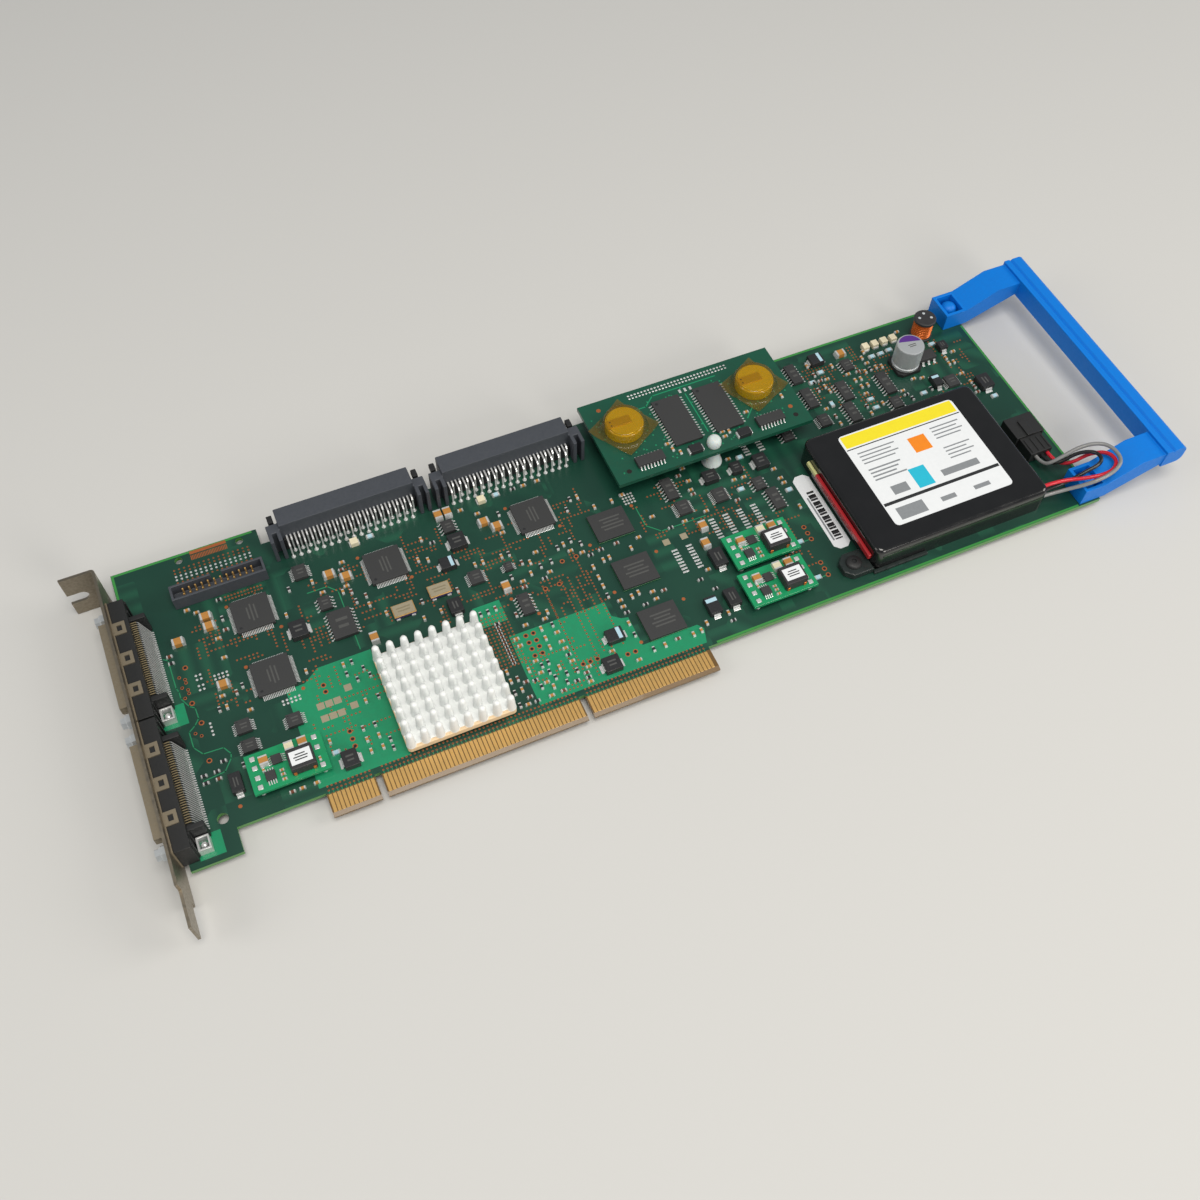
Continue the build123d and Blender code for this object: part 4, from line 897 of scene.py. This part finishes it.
# Middles of the connectors along their edge, and of the lock clip from an external one's middle
EXTERNALS = {"lower": 23.75, "upper": 67.45}
RIBBONS = {"left": 76.95, "right": 131.85}
CLIP_OFFSET = -18.2
# Leads in an external connector's row, and in a ribbon connector's two rows together
LEADS = 34


class CARD_OT_bracket(bpy.types.Operator):
    """Steel bracket, jack posts and the two external connectors"""
    bl_idname = "card.bracket"
    bl_label = "Bracket and external connectors"

    def execute(self, context):
        rounded("steel_bracket", "mounting_bracket", "zinc_plated_steel", 0.2, "zinc_steel")
        profile = [(2.42, 0), (2.42, 2.2), (2.1, 2.5), (1.9, 2.5), (1.9, 3.9), (1.5, 3.9), (1.35, 3.6),
                   (1.3, 2.0)]
        post = turned(profile, (0, 0), "drawn_aluminium", 6)
        post.data.transform(Matrix.Translation((-2.71, 0, 6.4)) @ Matrix.Rotation(math.radians(-90), 4, "Y"))
        posts = copied(post, flat((0, y) for y in (5.25, 42.25, 48.95, 85.95)))
        seated("hex_jack_posts", [posts], "nickel_plate", "jack_posts")
        for label, middle in EXTERNALS.items():
            housing = softened(f"{label}_external_housing", "black_pbt_moulding", 0.2)
            ribs = chip(0.5, 0.9, 0.4, 9.9, "black_pbt_moulding", 0.08)
            ribs = copied(ribs, flat((3.5, middle + step) for step in (-20.4, -17.0, 17.0, 20.4)))
            comb = block((3.2, 6.4), (middle - 13.6, middle + 13.6), (0, 7.3), "black_pbt_moulding", 0)
            pick(comb, lambda centre, along: centre.x > 6 and centre.z > 7, "EDGE")
            bpy.ops.transform.translate(value=(-1.8, 0, 0))
            done()
            seated(f"{label}_external_body", [housing, ribs, comb], "black_moulding",
                   f"{label}_external_housing")
            dressed(f"{label}_external_shell", "dulled_nickel")
            level = block((3.3, 5.0), (-0.15, 0.15), (8.1, 8.5), "brass_lead", 0.05)
            moves = [(0.5, -0.5), (2.1, -7.4), (0.4, -0.2)]
            slope = bent_strip((4.9, 0, 8.3), 0.3, 0.3, moves, "tin_with_painted_reflection")
            pad = chip(1.1, 0.36, 0, 0.1, "tin_with_painted_reflection", 0.03, 1, (7.6, 0))
            steps = [middle + (n - (LEADS - 1) / 2) * 0.8 for n in range(LEADS)]
            leads = copied(joined([level, slope, pad]), flat((0, y) for y in steps))
            seated(f"{label}_external_leads", [leads], "tinned_lead", f"{label}_external_contacts")
        clips = softened("ground_clips", "tin_with_painted_reflection", 0.12)
        solder = turned([(1.2, 0), (1.15, 1.2), (0.8, 2.0), (0.3, 2.3)], (0, 0), "tin_with_painted_reflection", 12)
        solder = copied(solder, flat((5.7, y + CLIP_OFFSET) for y in EXTERNALS.values()))
        patch = chip(7.4, 7.4, 0, 0.02, "mask_over_pour", 0)
        patch = copied(patch, flat((7.0, y + CLIP_OFFSET) for y in EXTERNALS.values()))
        seated("board_lock_clips", [clips, solder, patch], "nickel_plate", "ground_clips")
        return {"FINISHED"}


class CARD_OT_ribbon_connectors(bpy.types.Operator):
    """Ribbon connectors on the top edge, with their staggered leads"""
    bl_idname = "card.ribbon_connectors"
    bl_label = "Ribbon connectors"

    def execute(self, context):
        for label, middle in RIBBONS.items():
            body = softened(f"{label}_ribbon_housing", "blue_black_lcp_moulding", 0.25)
            ridge = block((middle - 21.6, middle + 21.6), (95.58, 96.0), (10.6, 11.5),
                          "blue_black_lcp_moulding", 0.1)
            comb = block((middle - 22.2, middle + 22.2), (94.7, 95.7), (0, 5.4), "black_pbt_moulding", 0.1)
            latch = block((-0.9, 0.9), (98.9, 101.9), (8.6, 10.6), "black_pbt_moulding", 0.2, 2)
            latches = copied(latch, flat([(middle - 24.3, 0), (middle + 24.3, 0)]))
            seated(f"{label}_ribbon_body", [body, ridge, comb, latches], "blue_black_moulding",
                   f"{label}_ribbon_housing")
            leads = []
            for reach, first in ((4.15, 0), (1.8, 1)):
                moves = [(reach - 0.3, 0), (0.35, -0.4), (0.1, -5.7)]
                lead = bent_strip((-0.2, 0, 6.2), 0.5, 0.42, moves, "tin_with_painted_reflection")
                blob = turned([(0.75, 0), (0.6, 0.25), (0.32, 0.7)], (reach + 0.1, 0), "tin_with_painted_reflection", 10)
                model = copied(joined([lead, blob]), [(0, 0, 0, -90)])
                steps = [(n - (LEADS - 1) / 2) * PITCH for n in range(first, LEADS, 2)]
                leads.append(copied(model, flat((middle + step, 95.6) for step in steps)))
            seated(f"{label}_ribbon_leads", leads, "tinned_lead", f"{label}_ribbon_contacts")
        return {"FINISHED"}


class CARD_OT_header(bpy.types.Operator):
    """Shrouded header with its gold pins"""
    bl_idname = "card.header"
    bl_label = "Shrouded header"

    def execute(self, context):
        rounded("header_shroud", "header_housing", "blue_black_lcp_moulding", 0.18, "blue_black_moulding")
        pin = chip(0.5, 0.5, 1.3, 4.75, "hard_gold_plate", 0.14)
        places = flat((31.45 + (n - 5.5) * 2, 88.85 + row) for n in range(12) for row in (-1, 1))
        tail = chip(0.45, 0.45, UNDERSIDE - 1.2, UNDERSIDE, "tin_with_painted_reflection", 0.1)
        seated("header_gold_pins", [copied(joined([pin, tail]), places)], "gold_plate", "header_pins")
        return {"FINISHED"}


# Modules and daughter card

MODULE_TOP = 3.5


class CARD_OT_power_modules(bpy.types.Operator):
    """Three power converter modules on solder posts"""
    bl_idname = "card.power_modules"
    bl_label = "Power modules"

    def execute(self, context):
        corners = flat([(22.7, 13.5), (185.1, 28.6), (183.4, 13.7)])
        plate = block((0, 22.8), (0, 13), (2.3, MODULE_TOP), "mask_module_green", 0.08)
        spots = chip(1.5, 1.5, MODULE_TOP, MODULE_TOP + 0.25, "tin_with_painted_reflection", 0.2, 2)
        holes = [(2.2, 11.2), (2.2, 8.1), (2.2, 4.8), (2.2, 1.7), (20.7, 11.2), (20.7, 7.7), (20.7, 1.7)]
        spots = copied(spots, flat(holes))
        seated("module_plates", [copied(joined([plate, spots]), corners)], "light_green_board",
               "module_boards")
        post = turned([(0.9, 0), (0.8, 0.4), (0.6, 0.9), (0.6, 2.3)], (0, 0), "tin_with_painted_reflection", 10)
        posts = copied(post, flat(holes))
        seated("module_solder_posts", [copied(posts, corners)], "tinned_lead", "module_posts")
        core = block((11.8, 19.4), (1.4, 8.4), (3.6, 7.3), "pressed_ferrite", 0.35, 2)
        label = block((12.5, 18.7), (2.7, 7.1), (7.3, 7.36), "coated_paper", 0)
        bars = print_bars(4.2, 2.6, 7.36, (15.6, 4.9), 3, "black_ink")
        glints = [block((x, x + 0.9), (1.25, 1.5), (3.7, 5.2), "enamelled_copper", 0.05)
                  for x in (12.2, 18.0)]
        seated("module_inductors", [copied(joined([core, label] + bars + glints), corners)], "ferrite",
               "module_chokes")
        body = chip(3, 3, 3.6, 4.5, "epoxy_moulding", 0.12)
        legs = lifted(leads_both_sides(1.5, 0.5, 4, 0.7, 0.32), MODULE_TOP)
        model = copied(joined([body, legs]), [(8.8, 8.4, 0, 0), (5.9, 4.0, 0, 90)])
        tiny = lifted(end_capped(1.2, 0.7, 0.5, 0.3, "fired_brown_ceramic"), MODULE_TOP)
        tiny = copied(tiny, flat([(9.3, 4.6), (9.3, 3.2), (9.3, 1.6)]) + flat([(4.4, 6.6), (20.5, 3.9)], 90))
        seated("module_packages", [copied(joined([model, tiny]), corners)], "chip_epoxy", "module_chips")
        tall = lifted(end_capped(2.8, 2.6, 1.6, 0.5, "fired_brown_ceramic"), MODULE_TOP)
        pale = lifted(end_capped(2.8, 2.6, 1.6, 0.5, "dipped_cream_polymer"), MODULE_TOP)
        tall = copied(tall, flat([(5.2, 9.2), (17.2, 10.8)], 90))
        pale = copied(pale, flat([(13.2, 10.8)], 90))
        seated("module_ceramics", [copied(joined([tall, pale]), corners)], "brown_ceramic",
               "module_capacitors")
        return {"FINISHED"}


CELLS = [(173.1, 92.08), (222.4, 92.08)]
CELL_RADIUS = 6.6
CELL_TOP = 4.4
TAB_LENGTH = 8.6
TAB_WIDTH = 3.4
TAB_OFFSET = -2.15
FILM_SIDE = 17.4
FILM_THICKNESS = 0.07
# Run of the film's slope down from a rim, height of its creases, and how its corners curl up
FILM_SLOPE = 2.2
FILM_CREASE = 0.18
CURL_START = 10.2
CURL = 0.9 / 3.2


def stretched_film(x, y, turn):
    """Square of film laid over a cell and its tab and pressed down round them."""
    bpy.ops.object.select_all(action="DESELECT")
    bpy.ops.mesh.primitive_grid_add(x_subdivisions=36, y_subdivisions=36, size=FILM_SIDE)
    film = bpy.context.object
    film.data.transform(Matrix.Rotation(math.radians(turn), 4, "Z"))
    for vertex in film.data.vertices:
        away = vertex.co.xy.length
        past_cell = away - CELL_RADIUS
        past_tab = max(abs(vertex.co.x - TAB_OFFSET) - TAB_LENGTH / 2, abs(vertex.co.y) - TAB_WIDTH / 2)
        drop = min(max(min(past_cell, past_tab) / FILM_SLOPE, 0), 1)
        drop = drop * drop * (3 - 2 * drop)
        crease = FILM_CREASE * math.sin(5 * math.atan2(vertex.co.y, vertex.co.x) + turn) * drop
        lift = CURL * max(away - CURL_START, 0)
        vertex.co.z = DECK + CELL_TOP + 0.42 - (CELL_TOP - 0.1) * drop + crease + lift
        vertex.co.x += x
        vertex.co.y += y
    wall = film.modifiers.new("thickness", "SOLIDIFY")
    wall.thickness = FILM_THICKNESS
    bpy.context.view_layer.objects.active = film
    bpy.ops.object.modifier_apply(modifier=wall.name)
    return coat(film, "polyimide_film")


def daughter_marks():
    """Pins, pads, holes, traces and the smallest parts on the daughter card."""
    pins = chip(0.75, 0.6, DECK, DECK + 0.25, "tin_with_painted_reflection", 0.1)
    marks = [copied(pins, flat((180.2 + PITCH * n, y) for n in range(30) for y in (103.3, 104.6)))]
    spot = turned([(0.8, DECK), (0.75, DECK + 0.03)], (0, 0), "bare_copper", 16)
    marks.append(copied(spot, flat([(168.3, 102.7), (230, 79)])))
    # near-black disc over each mounting hole: painted shade of the hole
    hole = turned([(0.9, DECK), (0.85, DECK + 0.02)], (0, 0), "painted_hole_shade", 16)
    marks.append(copied(hole, flat([(167.3, 74.7), (230, 75)])))
    pad = chip(1.5, 0.9, DECK, DECK + 0.2, "tin_with_painted_reflection", 0.08)
    marks.append(copied(pad, flat(((x, 99.8) for x in (197.7, 199.7, 201.7)), 90)))
    via = turned([(0.3, DECK), (0.27, DECK + 0.02)], (0, 0), "mask_over_pour", 8)
    spread = random.Random(3)
    dots = [(spread.uniform(164, 232), spread.uniform(73, 101)) for _ in range(120)]
    marks.append(copied(via, flat(dots)))
    for points in ([(176, 98), (184, 98), (188, 101.6), (212, 101.6)], [(199, 80), (199, 98)],
                   [(214, 80), (218, 84), (218, 86)]):
        marks += drawn_lines(points, 0.4, DECK, "mask_over_pour")
    tiny = lifted(end_capped(1.6, 0.8, 0.6, 0.35, "fired_brown_ceramic"), DECK)
    places = [(184.5, 77.6, 0, 90), (186.4, 75.4, 0, 90), (203.2, 77.8, 0, 0), (203.2, 75.6, 0, 0),
              (205.4, 77.2, 0, 90), (214.6, 82.4, 0, 0), (183.8, 80.2, 0, 0), (229.2, 84.2, 0, 90)]
    marks.append(copied(tiny, places))
    return marks


def lay_cells():
    """Backup cells, their tabs with painted shade in their holes, and the film over them."""
    profile = [(5.6, 0), (CELL_RADIUS, 0.25), (CELL_RADIUS, 3.3), (6.45, 3.6), (6.1, 3.7), (6.0, 4.2),
               (5.8, CELL_TOP), (5.2, CELL_TOP), (5.0, 4.36), (0.2, 4.36)]
    cell = lifted(turned(profile, (0, 0), "rolled_cell_steel", 48), DECK)
    seated("coin_cells", [copied(cell, flat(CELLS))], "cell_steel", "backup_cells")
    tab = chip(TAB_LENGTH, TAB_WIDTH, 0, 0.24, "cell_tab", 0.06, 1, (TAB_OFFSET, 0))
    # two near-black discs on each tab: painted shade in the tab's holes
    hole_shade_disc = turned([(0.3, 0.24), (0.25, 0.28)], (0, 0), "painted_hole_shade", 12)
    tab = lifted(joined([tab, copied(hole_shade_disc, flat([(-5.0, 0.8), (-5.0, -0.8)]))]), DECK + CELL_TOP)
    seated("tabs_with_shaded_holes", [copied(tab, flat(CELLS))], "nickel_plate", "cell_tabs")
    films = [stretched_film(*CELLS[0], 32), stretched_film(*CELLS[1], 26)]
    seated("polyimide_tapes", films, "amber_film", "cell_tapes", angle=60)


class CARD_OT_daughter_card(bpy.types.Operator):
    """Raised daughter card with its memories, logic, backup cells, film and spacer"""
    bl_idname = "card.daughter_card"
    bl_label = "Daughter card"

    def execute(self, context):
        dressed("daughter_board", "mask_daughter_green")
        seated("daughter_pads", daughter_marks(), "tinned_lead")
        body = chip(10.2, 20.4, DECK + 0.1, DECK + 1.1, "epoxy_moulding", 0.15, 2)
        legs = lifted(leads_both_sides(5.1, 0.5, 16, 1.2, 0.42), DECK)
        dot = turned([(0.6, DECK + 1.1), (0.55, DECK + 1.112)], (-3.6, 8.6), "epoxy_gloss", 16)
        memories = copied(joined([body, legs, dot]), flat([(191.0, 88.08), (206.5, 88.08)]))
        seated("buffer_packages", [memories], "chip_epoxy", "buffer_memories")
        body = chip(3.9, 10.0, DECK + 0.15, DECK + 1.6, "epoxy_moulding", 0.18, 2)
        legs = lifted(leads_both_sides(1.95, 0.85, 8, 1.2, 0.42), DECK)
        logic = copied(joined([body, legs]), flat([(175.6, 76.28), (220.6, 76.28)], 90))
        seated("logic_packages", [logic], "chip_epoxy", "logic_chips")
        lay_cells()
        profile = [(3.6, 0), (3.4, 0.8), (2.6, 2.6), (2.4, 6.4), (2.2, 7.0), (1.8, 7.03), (1.8, DECK)]
        head = [(2.3, 0.05), (2.5, 0.8), (2.4, 2.2), (1.9, 3.2), (1.0, 3.6)]
        profile += [(radius, DECK + rise) for radius, rise in head]
        post = turned(profile, (198.2, 74.08), "natural_nylon", 24)
        seated("nylon_spacer", [post], "white_nylon", "board_spacer", angle=50)
        rounded("mezzanine_body", "mezzanine_header", "black_pbt_moulding", 0.2, "black_moulding")
        return {"FINISHED"}


# Battery

PACK_X = (226.0, 291.7)
PACK_Y = (12.7, 63.5)
PACK_TOP = 10.0
PAPER = 0.07


def label_fields():
    """Battery label: white paper with fields and bars of colour."""
    low = PACK_TOP + PAPER
    fields = [block((237.0, 281.7), (19.9, 59.4), (PACK_TOP, low), "coated_paper", 0)]
    eased(fields[0], lambda centre, along: abs(along.z) > PAPER / 2, 1.6, 4)

    def field(x, y, name):
        fields.append(block(x, y, (low, low + INK), name, 0))

    field((237.4, 281.3), (52.9, 53.3), "black_ink")
    field((237.8, 280.9), (53.9, 58.9), "yellow_ink")
    field((237.4, 281.3), (28.0, 29.2), "black_ink")
    field((252.0, 258.0), (30.2, 38.4), "cyan_ink")
    field((258.6, 265.0), (43.4, 49.8), "orange_ink")
    for row in range(4):
        field((240, 254 - 2 * (row % 2)), (50.4 - 1.5 * row, 50.9 - 1.5 * row), "grey_ink")
        field((240, 252 - 1.5 * (row % 3)), (42.9 - 1.5 * row, 43.5 - 1.5 * row), "grey_ink")
        field((268, 279 - 1.4 * (row % 2)), (50.4 - 1.5 * row, 50.9 - 1.5 * row), "grey_ink")
        field((268, 278 - 2.0 * (row % 2)), (41.4 - 1.5 * row, 41.9 - 1.5 * row), "grey_ink")
    field((243.0, 249.0), (31.0, 34.6), "grey_ink")
    field((262.0, 276.0), (31.4, 34.0), "grey_ink")
    field((240.0, 250.0), (21.4, 26.2), "grey_ink")
    field((256.0, 261.5), (22.6, 24.4), "grey_ink")
    field((268.5, 274.5), (22.6, 24.2), "grey_ink")
    return fields


ROUTES = {
    "red_wire_lead": ("red_pvc", [
        (304.4, 30.4, 3.2), (304.4, 25.4, 3.2), (307.8, 22.4, 4.6), (313.2, 21.6, 8.2), (317.2, 18.6, 11.0),
        (317.6, 13.4, 12.0), (313.4, 10.4, 11.8), (306.8, 11.2, 10.8), (298.4, 16.6, 7.0),
        (291.7, 16.6, 7.0)]),
    "black_wire_lead": ("black_pvc", [
        (302.1, 30.4, 3.2), (302.1, 25.8, 3.2), (304.2, 23.4, 6.0), (309.2, 22.8, 9.6), (313.6, 19.2, 12.0),
        (312.4, 14.4, 12.4), (306.4, 14.8, 9.6), (302.0, 15.2, 7.0), (297.6, 15.8, 5.3), (291.7, 15.8, 5.3)]),
    "grey_wire_lead": ("grey_pvc", [
        (299.8, 30.4, 3.2), (299.8, 26.0, 3.2), (303.2, 24.4, 6.8), (311.2, 23.8, 11.4), (317.8, 20.2, 13.4),
        (318.4, 12.6, 13.6), (313.2, 9.2, 13.4), (305.6, 9.4, 10.8), (298.2, 13.8, 4.9), (291.5, 15.0, 3.7)]),
}


def laid_wire(context, name, insulation, points):
    """One battery lead along its route, as a cord."""
    line = bpy.data.curves.new(name, "CURVE")
    line.dimensions = "3D"
    run = line.splines.new("NURBS")
    run.points.add(len(points) - 1)
    places = [SEAT @ Vector(point) for point in points]
    for control, point in zip(run.points, places):
        control.co = (*point, 1)
    run.order_u = 3
    run.use_endpoint_u = True
    run.resolution_u = 8
    line.bevel_depth = context.scene.card_sizes.wire / 2000
    line.bevel_resolution = 3
    line.use_fill_caps = True
    line.materials.append(finish(insulation))
    wire = bpy.data.objects.new(name, line)
    bpy.context.collection.objects.link(wire)
    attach(wire, "root")
    if name == "red_wire_lead":
        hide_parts("red_wire")


class CARD_OT_battery(bpy.types.Operator):
    """Wrapped battery with its label, foot, flat lead, plug and wires"""
    bl_idname = "card.battery"
    bl_label = "Battery"

    def execute(self, context):
        pack = block(PACK_X, PACK_Y, (0, PACK_TOP), "shrunk_vinyl", 0)
        eased(pack, lambda centre, along: abs(along.z) > 1, 3.0, 5)
        eased(pack, lambda centre, along: centre.z > PACK_TOP - 0.1, 1.6, 4)
        seam = block((228.5, 289.2), (12.55, 12.8), (6.6, 7.4), "shrunk_vinyl", 0.1)
        seated("wrapped_pack", [pack, seam], "black_wrap", "battery_pack")
        seated("pack_label", label_fields(), "white_label", "battery_label")
        foot = softened("battery_foot", "smoke_polycarbonate", 0.4, 3)
        skirt = block((226.0, 246.0), (11.4, 12.75), (0, 1.2), "smoke_polycarbonate", 0.3, 2)
        seated("smoke_foot", [foot, skirt], "smoke_plastic", "battery_foot")
        lead = block((224.75, PACK_X[0]), (15.3, 51.0), (4.2, 6.4), "red_film_lead", 0.4, 3)
        tip = block((224.9, PACK_X[0]), (50.9, 57.2), (4.4, 6.2), "cream_film", 0.4, 3)
        pick(tip, lambda centre, normal: normal.y > 0.5)
        bpy.ops.transform.resize(value=(0.3, 1, 0.4), center_override=(PACK_X[0], 57.2, 5.3))
        done()
        seated("flat_lead", [lead, tip], "red_insulation", "pack_lead")
        socket = softened("battery_socket", "black_pbt_moulding", 0.25)
        latch = block((300.2, 303.2), (37.4, 44.0), (6.0, 6.6), "black_pbt_moulding", 0.2, 2)
        seated("socket_body", [socket, latch], "black_moulding", "battery_socket")
        plug = softened("battery_plug", "black_pbt_moulding", 0.25)
        ribs = block((0, 0.5), (31.0, 36.6), (5.1, 5.5), "black_pbt_moulding", 0.1)
        ribs = copied(ribs, flat((x, 0) for x in (298.2, 300.6, 303.0, 305.0)))
        seated("plug_body", [plug, ribs], "black_moulding", "battery_plug")
        plate = softened("stock_label", "coated_paper", 0.02, 1)
        bars = [block((221.4, 224.0), (y, y + 0.5 + 0.35 * (n % 3)), (0.1, 0.12), "black_ink", 0)
                for n, y in enumerate([28.4 + 1.05 * step for step in range(20)])]
        strip = [block((220.4, 221.0), (28.4, 47.0), (0.1, 0.12), "grey_ink", 0)]
        seated("bar_label", [plate] + bars + strip, "white_label", "stock_label")
        for name, (insulation, points) in ROUTES.items():
            laid_wire(context, name, insulation, points)
        return {"FINISHED"}


# Handle, can and choke

CAN = (281.8, 86.0)
CHOKE = (294.8, 96.68)


class CARD_OT_handle(bpy.types.Operator):
    """Blue pull handle and the snap rivets"""
    bl_idname = "card.handle"
    bl_label = "Handle"

    def execute(self, context):
        rounded("pull_handle", "handle", "blue_abs_moulding", 0.22, "handle_blue")
        profile = [(1.5, -3.9), (1.6, -3.2), (1.5, 1.4), (2.7, 1.4), (2.9, 2.4), (3.0, 4.0), (2.85, 5.2),
                   (2.3, 6.1), (1.4, 6.65), (0.5, 6.8)]
        dome = turned(profile, (0, 0), "blue_abs_moulding", 32)
        domes = copied(dome, flat([(308.3, 14.22), (308.3, 100.88)]))
        profile = [(1.2, UNDERSIDE), (1.2, 2.6), (2.6, 2.6), (2.6, 3.2), (2.2, 3.7), (0.9, 3.8), (0.8, 3.3)]
        small = turned(profile, (220.8, 16.8), "black_pbt_moulding", 24)
        seated("domed_rivets", [domes, small], "handle_blue", "snap_rivets", angle=50)
        return {"FINISHED"}


class CARD_OT_can_and_choke(bpy.types.Operator):
    """Can capacitor and drum choke near the far end"""
    bl_idname = "card.can_and_choke"
    bl_label = "Can and choke"

    def execute(self, context):
        x, y = CAN
        profile = [(4.6, 1.4), (5.0, 1.7), (5.0, 2.6), (4.7, 2.9), (4.7, 3.1), (5.0, 3.4), (5.0, 10.4),
                   (4.7, 10.9), (4.3, 11.0), (0.2, 11.0)]
        can = turned(profile, (x, y), "drawn_aluminium", 48)
        print_part = turned([(4.25, 11.0), (4.25, 11.02)], (x, y), "purple_print", 40)
        pick(print_part)
        bpy.ops.mesh.bisect(plane_co=(x, y + 1.4, 11), plane_no=(0.25, 1, 0), clear_inner=True, use_fill=True)
        done()
        bars = print_bars(3.0, 1.6, 11.0, (x + 0.3, y - 0.6), 2)
        seated("aluminium_can", [can, print_part] + bars, "can_aluminium", "can_capacitor", angle=40)
        rounded("can_plate", "can_base", "black_pbt_moulding", 0.15, "black_moulding")
        x, y = CHOKE
        profile = [(3.7, 0), (4.0, 0.3), (4.0, 1.1), (3.8, 1.3), (1.9, 1.3), (1.9, 7.9), (3.8, 7.9),
                   (4.0, 8.1), (4.0, 8.9), (3.7, 9.2), (0.3, 9.2)]
        base = turned(profile, (x, y), "pressed_ferrite", 32)
        # pale blue-grey spots on the drum's top flange
        spot_discs = turned([(0.8, 9.05), (0.7, 9.15), (0.3, 9.2)], (0, 0), "pale_top_spots", 12)
        spots = [(-2.1, 0.6), (0.4, 2.0), (2.0, -0.8)]
        spot_discs = copied(spot_discs, [(x + along, y + across, 0.03, 0) for along, across in spots])
        seated("ferrite_drum", [base, spot_discs], "ferrite", "choke_drum", angle=40)
        profile = [(2.0, 1.35)]
        for turn in range(8):
            low = 1.4 + turn * 0.8
            profile += [(3.2, low), (3.6, low + 0.2), (3.6, low + 0.5), (3.2, low + 0.7)]
        winding = turned(profile + [(2.0, 7.85)], (x, y), "enamelled_copper", 32)
        seated("copper_winding", [winding], "copper_wire", "choke_winding", angle=60)
        return {"FINISHED"}


# Stage

# name, place, aim, size, power
LIGHTS = (
    ("top_softbox", (-0.05, -0.32, 1.15), (0, 0, 0), 0.6, 9),
    ("right_softbox", (1.05, -0.3, 0.7), (0, 0, 0), 0.6, 5),
    ("front_strip", (0.35, -1.05, 0.56), (0.05, 0, 0), 0.45, 4.5),
    ("left_softbox", (-1.0, 0.1, 0.6), (0, 0, 0), 0.6, 2.5))
CAMERA_PLACE = (-0.112505, -0.19752, 0.34086)
CAMERA_RIGHT = Vector((0.9168, -0.3992, 0.0141))
CAMERA_UP = Vector((0.3316, 0.7803, 0.5303))


class CARD_OT_stage(bpy.types.Operator):
    """Pale floor, soft studio light and the camera"""
    bl_idname = "card.stage"
    bl_label = "Stage"

    def execute(self, context):
        scene = context.scene
        bpy.ops.object.select_all(action="DESELECT")
        bpy.ops.mesh.primitive_plane_add(size=6, location=(0, 0, CAD_BOX[0].z - 0.0002))
        floor = bpy.context.object
        floor.name = "studio_floor"
        material = bpy.data.materials.new("studio_floor_paper")
        material.use_nodes = True
        shader = material.node_tree.nodes["Principled BSDF"]
        shader.inputs["Base Color"].default_value = scene.card_colours.floor
        shader.inputs["Roughness"].default_value = 0.9
        floor.data.materials.append(material)
        world = bpy.data.worlds.new("studio")
        world.use_nodes = True
        background = world.node_tree.nodes["Background"]
        background.inputs["Color"].default_value = linear("#dfe4ea")
        background.inputs["Strength"].default_value = 0.32
        scene.world = world
        for name, place, aim, size, power in LIGHTS:
            lamp = bpy.data.lights.new(name, "AREA")
            lamp.size = size
            lamp.energy = power
            lamp.color = scene.card_colours.light
            light = bpy.data.objects.new(name, lamp)
            light.location = place
            light.rotation_euler = (Vector(aim) - Vector(place)).to_track_quat("-Z", "Y").to_euler()
            scene.collection.objects.link(light)
        camera = bpy.data.objects.new("camera", bpy.data.cameras.new("camera"))
        camera.data.lens = scene.card_sizes.lens
        camera.data.sensor_width = 36
        camera.data.clip_start = 0.01
        axes = (CAMERA_RIGHT, CAMERA_UP, CAMERA_RIGHT.cross(CAMERA_UP))
        turn = Matrix(axes).transposed().to_4x4()
        camera.matrix_world = Matrix.Translation(CAMERA_PLACE) @ turn
        scene.collection.objects.link(camera)
        scene.camera = camera
        scene.view_settings.view_transform = "Standard"
        return {"FINISHED"}


class CARD_PT_panel(bpy.types.Panel):
    """Sidebar list of the card's pieces"""
    bl_label = "Storage Controller Card"
    bl_idname = "CARD_PT_panel"
    bl_space_type = "VIEW_3D"
    bl_region_type = "UI"
    bl_category = "Card"

    def draw(self, context):
        for group in (context.scene.card_sizes, context.scene.card_colours):
            for name in group.__annotations__:
                self.layout.prop(group, name)
        for operator in OPERATORS:
            self.layout.operator(operator.bl_idname)


OPERATORS = (
    CARD_OT_stage, CARD_OT_circuit_board, CARD_OT_chips, CARD_OT_heat_sink, CARD_OT_small_parts,
    CARD_OT_bracket, CARD_OT_ribbon_connectors, CARD_OT_header, CARD_OT_power_modules, CARD_OT_daughter_card,
    CARD_OT_battery, CARD_OT_handle, CARD_OT_can_and_choke)
CLASSES = (CARD_PG_sizes, CARD_PG_colours) + OPERATORS + (CARD_PT_panel,)


def register():
    for item in CLASSES:
        bpy.utils.register_class(item)
    bpy.types.Scene.card_sizes = bpy.props.PointerProperty(type=CARD_PG_sizes)
    bpy.types.Scene.card_colours = bpy.props.PointerProperty(type=CARD_PG_colours)


def unregister():
    del bpy.types.Scene.card_colours
    del bpy.types.Scene.card_sizes
    for item in reversed(CLASSES):
        bpy.utils.unregister_class(item)


def main():
    """Builds the card."""
    register()
    for operator in OPERATORS:
        group, name = operator.bl_idname.split(".")
        getattr(getattr(bpy.ops, group), name)()


if __name__ == "__main__":
    main()
